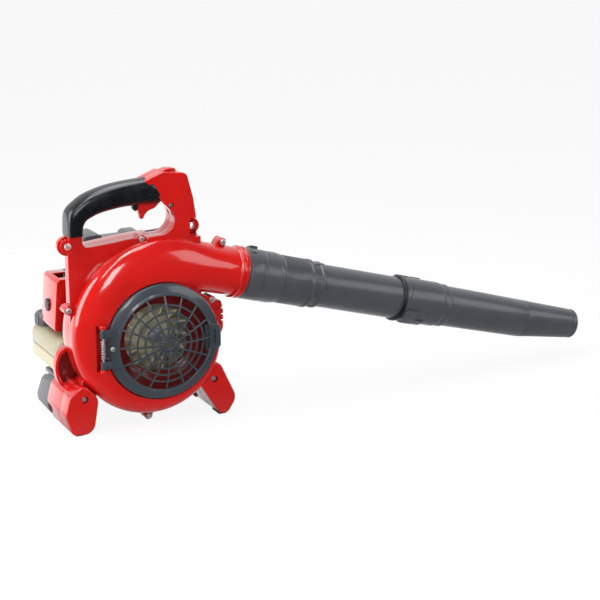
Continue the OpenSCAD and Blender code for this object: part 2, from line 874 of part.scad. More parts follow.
module guard_hinge_spring() {
    color(STEEL) placed() skin(tube_rings(hinge_coil(), hinge_wire_r, 6, [0.01, 0, 1]));
}

module guard_hinge_screw() {
    color(STEEL) placed() {
        rod_y(-74, 0, 1.6, guard_face_y - 1, guard_back_y - 1);
        rod_y(-74, 0, 3.2, guard_face_y - 2, guard_face_y - 0.05);
    }
}

// One curved blade, seen along the shaft.
module blade() {
    inner = 30;
    outer = fan_d / 2 - 1;
    lean = 32;
    steps = 8;
    line = [for (i = [0:steps])
        let (u = i / steps, r = mix(inner, outer, u), a = -lean * u * u)
        [r * cos(a), r * sin(a)]];
    polygon(concat(line, [for (i = [steps:-1:0]) turned(line[i], 57.3 * blade_w / norm(line[i]))]));
}

module fan_wheel() {
    color(CREAM) placed() difference() {
        union() {
            rod_y(0, 0, 14, -8, fan_back_y);
            rod_y(0, 0, fan_d / 2, fan_back_y - 2.5, fan_back_y);
            rod_y(0, 0, 32, fan_back_y - 5, fan_back_y);
            slab(fan_front_y, fan_back_y - 1)
                for (i = [0:blade_count - 1]) {
                    rotate(360 * i / blade_count) blade();
                }
        }
        rod_y(0, 0, shaft_r + 0.02, -20, fan_back_y + 1);
    }
}

module fan_nut() {
    color(STEEL) placed() difference() {
        translate([0, -14, 0]) facing_back() cylinder(r = 8.5, h = 5.9, $fn = 6);
        rod_y(0, 0, shaft_r + 0.02, -15, -7);
    }
}

// One crank web with its counterweight below the axis.
module web(y0) {
    slab(y0, y0 + web_t)
        polygon(concat(
            [for (a = [180:15:360]) 25 * [cos(a), sin(a)]],
            [[13, 17], [7, 22], [-7, 22], [-13, 17]]
        ));
}

module crankshaft() {
    front_web = cylinder_y - rod_half_w - web_gap - web_t;
    rear_web = cylinder_y + rod_half_w + web_gap;
    color(STEEL) placed() {
        rod_y(0, 0, shaft_r, -16, flange_y + 6);
        rod_y(0, 0, journal_r, flange_y + 4, front_web);
        web(front_web);
        web(rear_web);
        rod_y(0, 0, journal_r, rear_web + web_t, case_back_y);
        rod_y(0, 0, shaft_r, case_back_y, fly_y + fly_t + 6);
    }
}

module crank_bearings() {
    inner = cylinder_y - cavity_half_l;
    outer = cylinder_y + cavity_half_l;
    color(STEEL) placed()
        for (y0 = [inner - bearing_w + 0.1, outer + 0.1]) {
            translate([0, y0, 0]) facing_back() rotate_extrude()
                polygon([
                    [journal_r + shaft_gap, 0], [9.4, 0], [9.6, 0.8], [11, 0.8], [11.2, 0],
                    [bearing_r, 0], [bearing_r, bearing_w - 0.2], [11.2, bearing_w - 0.2],
                    [11, bearing_w - 1], [9.6, bearing_w - 1], [9.4, bearing_w - 0.2],
                    [journal_r + shaft_gap, bearing_w - 0.2],
                ]);
        }
}

// Half of the crankcase, cut where the cylinder stands.
module crankcase_half(side) {
    difference() {
        union() {
            rod_y(0, 0, 33.4, 48, case_back_y);
            rod_y(0, 0, 24, flange_y, 50);
            rod_y(0, 0, 44, flange_y, flange_y + 5);
            translate([-30, cylinder_y - 30, 0]) cube([60, case_back_y - cylinder_y + 30, deck_z]);
            translate([-18, 60, -pad_drop]) cube([36, 32, pad_drop]);
            for (a = arm_a) {
                slab(case_back_y - 8, case_back_y) rotate(a) translate([28, -5]) square([21.5, 10]);
                rod_y(arm_r * cos(a), arm_r * sin(a), 5.6, case_back_y - 8.5, starter_y - 0.2);
            }
            slab(case_back_y - 3, case_back_y) rotate(coil_a) translate([28, -6]) square([22, 12]);
        }
        rod_y(0, 0, cavity_r, cylinder_y - cavity_half_l, cylinder_y + cavity_half_l);
        rod_y(0, 0, bearing_r + 0.02, cylinder_y - cavity_half_l - bearing_w, cylinder_y);
        rod_y(0, 0, bearing_r + 0.02, cylinder_y, cylinder_y + cavity_half_l + bearing_w);
        rod_y(0, 0, 9, 0, case_back_y + 1);
        translate([0, cylinder_y, 20]) cylinder(r = bore_r + 1.5, h = deck_z);
        for (a = arm_a) {
            rod_y(arm_r * cos(a), arm_r * sin(a), screw_r + screw_gap, case_back_y - 6, starter_y);
        }
        for (a = engine_screw_a) {
            rod_y(36 * cos(a), 36 * sin(a), screw_r + screw_gap, flange_y - 1, flange_y + 6);
        }
        translate([-100, side < 0 ? cylinder_y : cylinder_y - 200, -100]) cube(200);
    }
}

module crankcase_front() {
    color(ALLOY) placed() crankcase_half(-1);
}

module crankcase_rear() {
    color(ALLOY) placed() crankcase_half(1);
}

module cylinder_block() {
    fin_half = 28;
    fin_step = 6;
    port_z = carb_z;
    color(ALLOY) placed() translate([0, cylinder_y, 0]) difference() {
        union() {
            translate([0, 0, deck_z]) cylinder(r = bore_r + 4.5, h = head_z - deck_z + 8);
            translate([-25, -23, deck_z]) cube([50, 46, 4]);
            for (i = [0:fin_count - 1]) {
                translate([0, 0, fin_top_z - 2 - fin_step * i])
                    linear_extrude(2) polygon(rounded(fin_half * [[-1, -1], [1, -1], [1, 1], [-1, 1]], 7));
            }
            for (side = [-1, 1]) {
                translate([side > 0 ? 15 : -port_x, -12, port_z - 10]) cube([port_x - 15, 24, 20]);
            }
            translate([0, 0, head_z]) cylinder(r = 11, h = plug_seat_z - head_z);
        }
        translate([0, 0, deck_z - 1]) cylinder(r = bore_r, h = head_z - deck_z + 1);
        translate([-port_x - 1, 0, port_z]) rotate([0, 90, 0]) cylinder(r = 8, h = 2 * port_x + 2);
        translate([0, 0, head_z - 1]) cylinder(r = plug_r + 0.05, h = 20);
    }
}

module piston() {
    color(ALLOY) placed() translate([0, cylinder_y, 0]) difference() {
        translate([0, 0, skirt_z]) cylinder(r = bore_r - shaft_gap, h = crown_z - skirt_z);
        difference() {
            translate([0, 0, skirt_z - 1]) cylinder(r = bore_r - 3.5, h = crown_z - skirt_z - 5);
            for (side = [-1, 1]) {
                translate([-7, side > 0 ? rod_half_w + 0.5 : -30 - rod_half_w - 0.5, skirt_z - 2])
                    cube([14, 30, 30]);
            }
        }
        translate([0, -30, wrist_z]) facing_back() cylinder(r = pin_r + 0.02, h = 60);
    }
}

module wrist_pin() {
    color(STEEL) placed() rod_y(0, wrist_z, pin_r, cylinder_y - 14, cylinder_y + 14);
}

module crank_pin() {
    color(STEEL) placed()
        rod_y(0, crank_throw, pin_r + 0.5, cylinder_y - rod_half_w, cylinder_y + rod_half_w);
}

module connecting_rod() {
    color(STEEL) placed() difference() {
        slab(cylinder_y - rod_half_w, cylinder_y + rod_half_w) {
            translate([0, crank_throw]) circle(r = 8.8);
            translate([0, wrist_z]) circle(r = 7.2);
            polygon([[-5, crank_throw], [5, crank_throw], [3.6, wrist_z], [-3.6, wrist_z]]);
        }
        rod_y(0, crank_throw, pin_r + 0.52, 0, 2 * cylinder_y);
        rod_y(0, wrist_z, pin_r + 0.02, 0, 2 * cylinder_y);
    }
}

module spark_plug() {
    color(STEEL) placed() translate([0, cylinder_y, 0]) {
        translate([0, 0, head_z + 1]) cylinder(r = plug_r, h = plug_seat_z - head_z - 0.9);
        translate([0, 0, plug_seat_z + 0.1]) cylinder(r = 8, h = 6, $fn = 6);
        translate([0, 0, plug_seat_z + 6]) cylinder(r = 4.4, h = 14);
        translate([0, 0, plug_seat_z + 20]) cylinder(r = 2.4, h = 4);
    }
}

module plug_cap() {
    color(BLACK) placed() translate([0, cylinder_y, 0]) difference() {
        union() {
            translate([0, 0, plug_seat_z + 8]) cylinder(r = 7.5, h = 19);
            translate([0, 0, lead_z]) facing_back() cylinder(r = 5, h = 14);
        }
        translate([0, 0, plug_seat_z + 7]) cylinder(r = 4.6, h = 17.5);
    }
}

module ignition_coil() {
    color(BLACK) placed()
        rotate([0, -coil_a, 0])
            translate([flywheel_r + 0.8, case_back_y + 0.2, -10]) cube([coil_t, 20, 20]);
}

module ignition_lead() {
    color(BLACK) placed() skin(tube_rings(smooth(lead_route, 3), lead_r, 8, [1, 0.3, 0.1]));
}

module flywheel() {
    fins = 12;
    color(ALLOY) placed() difference() {
        union() {
            rod_y(0, 0, flywheel_r, fly_y, fly_y + 5);
            rod_y(0, 0, 14, fly_y - 2, fly_y + fly_t);
            for (i = [0:fins - 1]) {
                rotate([0, 360 * i / fins, 0])
                    translate([20, fly_y, -1.5]) cube([flywheel_r - 21, fly_t, 3]);
            }
        }
        rod_y(0, 0, shaft_r + 0.02, 0, 200);
    }
}

module starter_ratchet() {
    color(STEEL) placed() difference() {
        slab(fly_y + fly_t + 0.2, fly_y + fly_t + 7)
            polygon([for (i = [0:7]) (i % 2 == 0 ? 12 : 9.5) * [cos(45 * i), sin(45 * i)]]);
        rod_y(0, 0, shaft_r + 0.02, 0, 200);
    }
}

module starter_housing() {
    wall = 3;
    vent_w = 5;
    r = starter_r;
    color(GREY) placed() difference() {
        union() {
            translate([0, starter_y, 0]) facing_back() rotate_extrude()
                polygon([
                    [r - wall, 0], [r, 0], [r, starter_l - 8], [r - 8, starter_l], [0, starter_l],
                    [0, starter_l - wall], [r - 9.2, starter_l - wall], [r - wall, starter_l - 9.2],
                ]);
            rod_y(0, 0, post_r, pulley_y - 6, starter_y + starter_l - 1);
            for (a = arm_a) {
                rod_y(arm_r * cos(a), arm_r * sin(a), 5.2, starter_y, starter_y + starter_l - 5);
            }
            translate([rope_x, pulley_y, 40]) cylinder(r = 11, h = seat_z - 40);
        }
        for (a = arm_a) {
            rod_y(arm_r * cos(a), arm_r * sin(a), screw_r + screw_gap, 0, 200);
            rod_y(arm_r * cos(a), arm_r * sin(a), head_r + 0.4, screw_end_y, 200);
        }
        for (a = [0:30:330]) {
            rotate([0, a, 0])
                translate([22, starter_y + starter_l - 8, -vent_w / 2]) cube([16, 10, vent_w]);
        }
        translate([rope_x, pulley_y, 30]) cylinder(r = 2.4, h = 40);
        translate([rope_x, pulley_y, seat_z - 6]) cylinder(r = 8, h = 10);
        translate([8, starter_y - 1, 30]) cube([20, 10, 30]);
        difference() {
            rod_y(0, 0, r - wall, starter_y - 1, starter_y + starter_l - 12);
            rod_y(0, 0, post_r, 0, 200);
            for (a = arm_a) {
                rod_y(arm_r * cos(a), arm_r * sin(a), 5.2, 0, 200);
            }
        }
    }
}

module starter_pulley() {
    color(BLACK) placed() difference() {
        translate([0, pulley_y, 0]) facing_back() rotate_extrude()
            polygon([
                [post_r + shaft_gap, -5.5], [26, -5.5], [26, -4], [pulley_r - 2, -3.6],
                [pulley_r - 2, 3.6], [26, 4], [26, 5.5], [post_r + shaft_gap, 5.5],
            ]);
        for (a = [0:60:300]) {
            rod_y(13 * cos(a), 13 * sin(a), 3, pulley_y - 10, pulley_y + 10);
        }
    }
}

module wound_rope() {
    color(CREAM) placed() translate([0, pulley_y, 0]) facing_back() rotate_extrude()
        translate([pulley_r - 1.9, -3.3]) square([3, 6.6]);
}

module recoil_spring() {
    turns = 7;
    steps = turns * 18;
    strip = 0.8;
    first = post_r + 0.3;
    last = 23;
    line = [for (i = [0:steps])
        let (a = 20 * i, r = mix(first, last, i / steps)) r * [cos(a), sin(a)]];
    back = [for (i = [steps:-1:0]) line[i] * (1 + strip / norm(line[i]))];
    color(STEEL) placed() slab(pulley_y + 7, pulley_y + 15) polygon(concat(line, back));
}

module starter_rope() {
    color(CREAM) placed()
        translate([rope_x, pulley_y, 4]) cylinder(r = rope_r, h = seat_z - 5.5 - 4);
}

module starter_handle() {
    color(BLACK) placed() {
        translate([rope_x, pulley_y, seat_z - 5.5]) cylinder(r = 7.5, h = 12);
        translate([rope_x, pulley_y, 0])
            slab(-7, 7)
                polygon(rounded([
                    [-20, seat_z + 5], [-16, seat_z + 1], [16, seat_z + 1], [20, seat_z + 5],
                    [20, seat_z + 13], [14, seat_z + 16], [-14, seat_z + 16], [-20, seat_z + 13],
                ], 2));
    }
}

// Outline of the engine cover, seen from the front.
cover_outline = [[-84, 88.3], [-84, 118], [-72, 127], [0, 130], [44, 128], [64, 116], [66, 88.3]];

module engine_cover() {
    wall = 2.5;
    color(GREY) placed() difference() {
        union() {
            slab(hood_y0, hood_y1) polygon(cover_outline);
            slab(hood_y0 + 10, hood_y1 - 12) {
                polygon([[-79, 118], [-76, 131], [-70, 133], [-56, 134], [-50, 132], [-46, 124]]);
                polygon([[-21, 124], [-18, 135], [-13, 137.5], [-4, 137.5], [0, 135], [3, 124]]);
            }
        }
        difference() {
            slab(hood_y0 + wall, hood_y1 - wall)
                polygon([
                    [-84 + wall, 80], [-84 + wall, 117], [-71, 124.6], [0, 127.5], [43, 125.5],
                    [62, 114.5], [66 - wall, 80],
                ]);
            for (x = [-22, 22], dy = [-22, 22]) {
                translate([x, cylinder_y + dy, fin_top_z + 0.1]) cylinder(r = 4, h = 60);
            }
        }
        for (x = [-60:14:40]) {
            translate([x, hood_y1 - 5, 98]) cube([8, 10, 18]);
        }
    }
}

module muffler() {
    wall = 1.5;
    color(STEEL) placed() difference() {
        slab(muffler_y0, muffler_y1)
            polygon(rounded([[port_x + 0.2, 20], [78, 20], [78, 84], [port_x + 0.2, 84]], 8));
        slab(muffler_y0 + wall, muffler_y1 - wall)
            polygon(rounded([
                [port_x + 0.2 + wall, 20 + wall], [78 - wall, 20 + wall], [78 - wall, 84 - wall],
                [port_x + 0.2 + wall, 84 - wall],
            ], 6.5));
        translate([port_x - 1, cylinder_y, carb_z]) rotate([0, 90, 0]) cylinder(r = 8, h = 5);
        translate([74, muffler_y0 + 12, 31]) rotate([0, 90, 0]) cylinder(r = 5, h = 10);
    }
}

module muffler_cover() {
    wall = 2;
    y0 = muffler_y0 - 5;
    y1 = muffler_y1 + 3;
    color(BLACK) placed() {
        difference() {
            slab(y0, y1) polygon(rounded([[36, 15], [92, 15], [92, 87.5], [36, 87.5]], 6));
            slab(y0 + wall, y1 - wall)
                polygon([[30, 17], [90 - 4, 17], [90, 21], [90, 81.5], [90 - 4, 85.5], [30, 85.5]]);
            for (z = [26:9:76]) {
                translate([85, y0 + 8, z]) cube([10, y1 - y0 - 16, 4]);
            }
            slab(y0 - 1, y1 + 1) translate([30, 10]) square([12, 80]);
        }
        for (z = [40, 68]) {
            translate([78.1, cylinder_y + 4, z]) rotate([0, 90, 0]) cylinder(r = 4, h = 12.9);
        }
    }
}

module intake_insulator() {
    color(BLACK) placed() difference() {
        translate([-45, cylinder_y - 14, carb_z - 12]) cube([45 - port_x - 0.1, 28, 24]);
        translate([-50, cylinder_y, carb_z]) rotate([0, 90, 0]) cylinder(r = 8, h = 30);
    }
}

module carburettor() {
    color(ALLOY) placed() difference() {
        union() {
            translate([-80, cylinder_y - 15, carb_z - 15]) cube([34.8, 30, 30]);
            translate([arm_x, cylinder_y, carb_z + 10]) cylinder(r = 5, h = 9);
            translate([arm_x - 4, 62.5, carb_z + 14]) cube([8, 4, 16]);
            translate([arm_x, cylinder_y, carb_z - 21]) cylinder(r = 13, h = 8);
            translate([arm_x - 9, cylinder_y + 4, carb_z - 26]) cylinder(r = 2.2, h = 8);
        }
        translate([-90, cylinder_y, carb_z]) rotate([0, 90, 0]) cylinder(r = 8, h = 60);
        translate([arm_x, cylinder_y, carb_z + 10]) cylinder(r = 2.55, h = 20);
        rod_y(arm_x, carb_z, primer_r + 0.3, cylinder_y - 16, cylinder_y - 9);
        rod_y(arm_x, carb_z + 23, cable_r + 0.3, 60, 70);
    }
}

module throttle_arm() {
    color(STEEL) placed() translate([arm_x, cylinder_y, 0]) {
        translate([0, 0, carb_z + 11]) cylinder(r = 2.5, h = 10);
        translate([0, 0, carb_z + 19.3])
            linear_extrude(2)
                polygon(rounded([[-15, -3], [4, -4], [4, 4], [-15, 3]], 2.5));
    }
}

module primer_bulb() {
    color(BLACK) placed()
        translate([arm_x, cylinder_y - 13.5, carb_z]) facing_front() rotate_extrude()
            polygon(concat(
                [[0, 0], [primer_r, 0], [primer_r, 3]],
                [for (a = [15:15:75]) [primer_r * cos(a), 3 + 6 * sin(a)]],
                [[0, 3 + 6 * sin(75)]]
            ));
}

module air_cleaner_base() {
    color(BLACK) placed() difference() {
        union() {
            translate([-84, cover_y0, 0]) cube([3.8, cover_w, cover_h]);
            translate([-97, 82, shelf_z]) cube([14, 22, 3]);
            translate([-100, bolt_y, bolt_z]) rotate([0, 90, 0]) cylinder(r = 5, h = 18);
        }
        translate([-90, cylinder_y, carb_z]) rotate([0, 90, 0]) cylinder(r = 8, h = 20);
        translate([-101, bolt_y, bolt_z]) rotate([0, 90, 0]) cylinder(r = 3.05, h = 15);
        translate([choke_x, choke_y, shelf_z - 1]) cylinder(r = 2.55, h = 5);
    }
}

module air_filter() {
    color([0.2, 0.2, 0.2]) placed() difference() {
        translate([-102, cover_y0 + 4, 4]) cube([17.8, cover_w - 8, shelf_z - 6]);
        translate([-110, bolt_y, bolt_z]) rotate([0, 90, 0]) cylinder(r = 5.3, h = 40);
    }
}

module air_cleaner_cover() {
    wall = 2.5;
    lean = 6;
    front = -118;
    color(RED) placed() difference() {
        translate([0, cover_y0, 0]) slab(0, cover_w)
            polygon(concat(
                [[-84.3, 0], [-84.3, cover_h]],
                corner([-84.3, cover_h], [front + lean, cover_h], [front, 0], 7),
                corner([front + lean, cover_h], [front, 0], [-84.3, 0], 5)
            ));
        translate([0, cover_y0, 0]) slab(wall, cover_w - wall)
            polygon([
                [-80, wall], [-80, cover_h - wall], [front + lean + 7, cover_h - wall],
                [front + lean + wall, cover_h - 8], [front + wall, 7], [front + 7, wall],
            ]);
        translate([-106, 78, shelf_z - 1.5]) cube([30, 30, 20]);
        translate([-130, bolt_y, bolt_z]) rotate([0, 90, 0]) cylinder(r = 3.4, h = 30);
        translate([-140, bolt_y, bolt_z]) rotate([0, 90, 0]) cylinder(r = 12, h = 140 - knob_seat);
    }
    color(RED) placed() translate([-knob_seat, bolt_y, bolt_z]) rotate([0, 90, 0])
        difference() {
            cylinder(r = 12.5, h = 3);
            translate([0, 0, -1]) cylinder(r = 3.4, h = 5);
        }
}

module cover_bolt() {
    color(BLACK) placed() translate([0, bolt_y, bolt_z]) rotate([0, 90, 0]) {
        translate([0, 0, -knob_seat - 4.02]) difference() {
            cylinder(r = 9, h = 4);
            for (a = [0:45:315]) {
                rotate([0, 0, a]) translate([10.5, 0, -1]) cylinder(r = 2.6, h = 6);
            }
        }
        translate([0, 0, -knob_seat - 1]) cylinder(r = 3, h = 28);
    }
}

module choke_lever() {
    color(BLACK) placed() translate([choke_x, choke_y, 0]) {
        translate([0, 0, shelf_z]) cylinder(r = 2.5, h = 5);
        translate([0, 0, shelf_z + 3.3]) linear_extrude(3)
            polygon(rounded([[-4, 4], [-3, -12], [3, -12], [4, 4]], 2.5));
        translate([0, -9.5, shelf_z + 5]) cylinder(r = 2.4, h = 6);
    }
}

module fuel_tank() {
    tank_x = -122;
    color(CREAM) placed() difference() {
        union() {
            slab(tank_y0, tank_y0 + tank_l) polygon(rounded(tank_box(tank_x, 0), 9));
            translate([cap_x, cap_y, tank_top_z - 1]) cylinder(r = 12, h = 8);
        }
        slab(tank_y0 + tank_wall, tank_y0 + tank_l - tank_wall)
            polygon(rounded(tank_box(tank_x, tank_wall), 7));
        translate([cap_x, cap_y, tank_top_z - 5]) cylinder(r = 9, h = 20);
        translate([line_x, line_y, tank_top_z - 5]) cylinder(r = line_r + 0.3, h = 10);
    }
}

// The tank's outline with its wall taken off.
function tank_box(x, wall) = [
    [x + wall, tank_top_z - tank_h + wall], [x + tank_w - wall, tank_top_z - tank_h + wall],
    [x + tank_w - wall, tank_top_z - wall], [x + wall, tank_top_z - wall],
];

module fuel_cap() {
    color(GREY) placed() translate([cap_x, cap_y, tank_top_z]) difference() {
        rotate_extrude()
            polygon([
                [0, 8], [12.4, 8], [12.4, 0.5], [cap_r, 0.5], [cap_r, 14], [cap_r - 3, 17.5],
                [cap_r - 7, 17.5], [cap_r - 8.5, 15.5], [0, 15.5],
            ]);
        for (a = [0:30:330]) {
            rotate([0, 0, a]) translate([cap_r + 1, 0, 2]) cylinder(r = 2.2, h = 20);
        }
    }
}

module fuel_lines() {
    color(BLACK) placed() skin(tube_rings(smooth(fuel_route, 3), line_r, 8, [0.2, 1, 0.1]));
}

module rear_stand() {
    color(GREY) placed() {
        low_foot(left_foot, foot_rear, stand_rear);
        low_foot(right_foot, foot_rear, stand_rear);
        translate([-120, foot_rear + 5, plate_z - 6]) cube([206, stand_rear - foot_rear - 10, 6]);
        translate([-18, 60, plate_z - 1]) cube([36, 30, -pad_drop - plate_z + 0.9]);
    }
}

// A foot cut off under the tank.
module low_foot(points, y0, y1) {
    intersection() {
        foot(points, y0, y1);
        translate([-200, -100, -200]) cube([400, 400, 200 + plate_z]);
    }
}

module case_screws() {
    color(STEEL) placed() {
        for (p = lugs) {
            rod_y(p[0], p[1], screw_r, -lug_depth - 1, lug_depth - 0.5);
            rod_y(p[0], p[1], head_r, -lug_depth - 3.2, -lug_depth - 0.05);
        }
        rod_y(pillar_screw[0], pillar_screw[1], screw_r, -13, 11);
        rod_y(pillar_screw[0], pillar_screw[1], 3.4, -15, -12.05);
    }
}

module foot_screws() {
    color(STEEL) placed()
        for (p = foot_screw_places) {
            rod_y(p[0], p[1], screw_r, -foot_front + 5, 18);
            rod_y(p[0], p[1], head_r, -foot_front + 3, -foot_front + 5.95);
        }
}

module engine_screws() {
    color(STEEL) placed()
        for (a = engine_screw_a) {
            rod_y(36 * cos(a), 36 * sin(a), screw_r, rear_depth - case_wall - 1, flange_y + 4.5);
            rod_y(36 * cos(a), 36 * sin(a), head_r - 0.2, rear_depth - case_wall - 2.2,
                rear_depth - case_wall - 0.05);
        }
}

module starter_screws() {
    color(STEEL) placed()
        for (a = arm_a) {
            rod_y(arm_r * cos(a), arm_r * sin(a), screw_r, case_back_y - 4, screw_end_y + 1);
            rod_y(arm_r * cos(a), arm_r * sin(a), head_r, screw_end_y + 0.05, screw_end_y + 3);
        }
}

// Part of a ring about the tube, between two angles and two stations.
module sector(a0, a1, r0, r1, s0, s1) {
    rotate([0, 0, a0]) rotate_extrude(angle = a1 - a0)
        translate([r0, s0]) square([r1 - r0, s1 - s0]);
}

// Bayonet peg, on a tube whose end lies at this station.
module peg(s, r = spigot_r, at = 0) {
    sector(at - peg_half_a, at + peg_half_a, r - 0.5, r + peg_h, s + 9, s + 9 + peg_len);
}

// Raised cover of a bayonet slot.
module peg_cover(s, r, at = 0) {
    sector(at - twist - peg_half_a - 5, at + peg_half_a + 5, r + 1, r + peg_h + 3.5, s + 2, s + 22);
}

// Slot that a peg comes in through and is locked in.
module peg_slot(s, r, at = 0) {
    clear = 1.2;
    far = at - twist - peg_half_a - clear;
    sector(far, at + peg_half_a + clear, r - 2, r + peg_h + 0.5, s + 8.6, s + 9.4 + peg_len);
    sector(far, far + 2 * (peg_half_a + clear), r - 2, r + peg_h + 0.5, s - 1, s + 10 + peg_len);
}

module outlet_collar() {
    bore = spigot_r + turn_gap;
    color(GREY) placed() along_tube() difference() {
        union() {
            rotate_extrude()
                polygon([
                    [bore, turn_gap], [36, turn_gap], [36, collar_len - 8], [35, collar_len - 4],
                    [35, collar_len], [inner_spigot_r, collar_len],
                    [inner_spigot_r, collar_spigot_end], [inner_spigot_r - tube_wall, collar_spigot_end],
                    [inner_spigot_r - tube_wall, spigot_len + 4], [bore, spigot_len + 0.5],
                ]);
            peg_cover(0, spigot_r);
            sector(172, 188, 35, 40, 12, 24);
        }
        peg_slot(0, spigot_r);
    }
}

module main_tube() {
    bore = inner_spigot_r + turn_gap;
    rib_step = 6;
    color(GREY) placed() along_tube() difference() {
        union() {
            rotate_extrude()
                polygon(concat(
                    [[bore, sleeve_start]],
                    [for (s = [sleeve_start:rib_step:sleeve_end - rib_step - 0.1])
                        each [[34, s], [34, s + 4], [33.2, s + 4.4], [33.2, s + rib_step - 0.4]]],
                    [
                        [34.8, sleeve_end - 4], [34.8, sleeve_end], [pipe_r + 1, sleeve_end + 1],
                        [pipe_r + 1, window_end - 4], [33.5, window_end - 3], [33.5, window_end],
                        [pipe_r, window_end + 2], [pipe_r, pipe_tail], [pipe_r - tube_wall, pipe_tail],
                        [pipe_r - tube_wall, collar_spigot_end + 4], [bore, collar_spigot_end + 0.5],
                    ]
                ));
            peg(pipe_end, pipe_r, 0);
            peg(pipe_end, pipe_r, 180);
        }
        for (a = [45:90:315]) {
            rotate([0, 0, a]) translate([pipe_r + 0.2, -9, sleeve_end + 3])
                cube([6, 18, window_len - 7.5]);
        }
    }
}

module coupling_seal() {
    color(BLACK) placed() along_tube() rotate_extrude()
        polygon([
            [pipe_r + 0.1, pipe_end - 5], [33, pipe_end - 5], [34, pipe_end - 3.5], [34, pipe_end],
            [pipe_r + 0.1, pipe_end],
        ]);
}

// Nozzle: socket and long cone, then the tapered end, which is set into it at a small angle.
module nozzle() {
    bore = pipe_r + turn_gap;
    inset = 0.5;
    overlap = 3;
    end_r = bend_r - inset;
    color(GREY) placed() along_tube() {
        difference() {
            union() {
                rotate_extrude()
                    polygon([
                        [bore, socket_start], [socket_r, socket_start],
                        [socket_r, socket_start + 66], [31.5, socket_end - 4], [31.5, socket_end],
                        [30.2, socket_end + 2], [bend_r, bend_start],
                        [bend_r - tube_wall, bend_start], [28.2, socket_end + 2],
                        [28.2, pipe_tail + 14], [bore, pipe_tail + 0.5],
                    ]);
                peg_cover(pipe_end, pipe_r, 0);
                peg_cover(pipe_end, pipe_r, 180);
            }
            peg_slot(pipe_end, pipe_r, 0);
            peg_slot(pipe_end, pipe_r, 180);
        }
        translate([0, 0, bend_start]) rotate([0, -tip_bend, 0]) rotate_extrude()
            polygon([
                [end_r, -overlap], [end_r, 0], [mouth_r, tip_len], [mouth_r, tip_len + lip_len],
                [mouth_r - tube_wall, tip_len + lip_len], [mouth_r - tube_wall, tip_len],
                [end_r - tube_wall, 0], [end_r - tube_wall, -overlap],
            ]);
    }
}

fan_case_front();
fan_case_rear();
handle_grip();
throttle_trigger();
trigger_pin();
trigger_spring();
throttle_cable();
stop_switch();
intake_guard();
guard_hinge_pin();
guard_hinge_spring();
guard_hinge_screw();
fan_wheel();
fan_nut();
crankshaft();
crank_bearings();
crankcase_front();
crankcase_rear();
cylinder_block();
piston();
connecting_rod();
wrist_pin();
crank_pin();
spark_plug();
plug_cap();
ignition_coil();
ignition_lead();
flywheel();
starter_housing();
starter_pulley();
starter_ratchet();
wound_rope();
starter_rope();
starter_handle();
recoil_spring();
engine_cover();
muffler();
muffler_cover();
intake_insulator();
carburettor();
throttle_arm();
primer_bulb();
air_cleaner_base();
air_filter();
air_cleaner_cover();
cover_bolt();
choke_lever();
fuel_tank();
fuel_cap();
fuel_lines();
rear_stand();
case_screws();
foot_screws();
engine_screws();
starter_screws();
outlet_collar();
main_tube();
coupling_seal();
nozzle();
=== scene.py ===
import json
import math

import bpy
from mathutils import Matrix, Vector

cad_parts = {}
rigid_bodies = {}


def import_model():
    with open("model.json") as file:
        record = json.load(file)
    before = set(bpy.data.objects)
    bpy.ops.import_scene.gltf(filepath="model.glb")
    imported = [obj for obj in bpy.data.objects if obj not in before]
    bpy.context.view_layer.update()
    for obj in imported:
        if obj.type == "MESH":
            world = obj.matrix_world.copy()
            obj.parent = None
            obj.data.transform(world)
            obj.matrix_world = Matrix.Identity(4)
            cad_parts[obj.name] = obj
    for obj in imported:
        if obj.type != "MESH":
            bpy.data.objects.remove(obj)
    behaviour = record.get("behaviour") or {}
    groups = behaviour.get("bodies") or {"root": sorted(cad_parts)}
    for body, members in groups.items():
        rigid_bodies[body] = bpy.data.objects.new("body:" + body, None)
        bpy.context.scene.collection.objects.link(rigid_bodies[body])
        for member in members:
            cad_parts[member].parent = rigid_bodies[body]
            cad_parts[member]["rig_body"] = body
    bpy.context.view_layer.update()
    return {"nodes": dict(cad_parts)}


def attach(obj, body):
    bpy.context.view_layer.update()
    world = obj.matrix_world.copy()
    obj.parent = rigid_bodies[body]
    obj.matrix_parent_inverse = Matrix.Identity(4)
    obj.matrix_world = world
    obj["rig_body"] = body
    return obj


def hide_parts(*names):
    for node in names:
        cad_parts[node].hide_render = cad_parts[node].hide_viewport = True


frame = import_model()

# ---------------------------------------------------------------- table, lamps and camera
# The blower stands on a plain white table under five soft lamps. The table and the room show near white
# to the camera, and the table still takes the machine's shadow. To glossy rays the table also glows,
# faint in front and bright behind: a painted reflection.


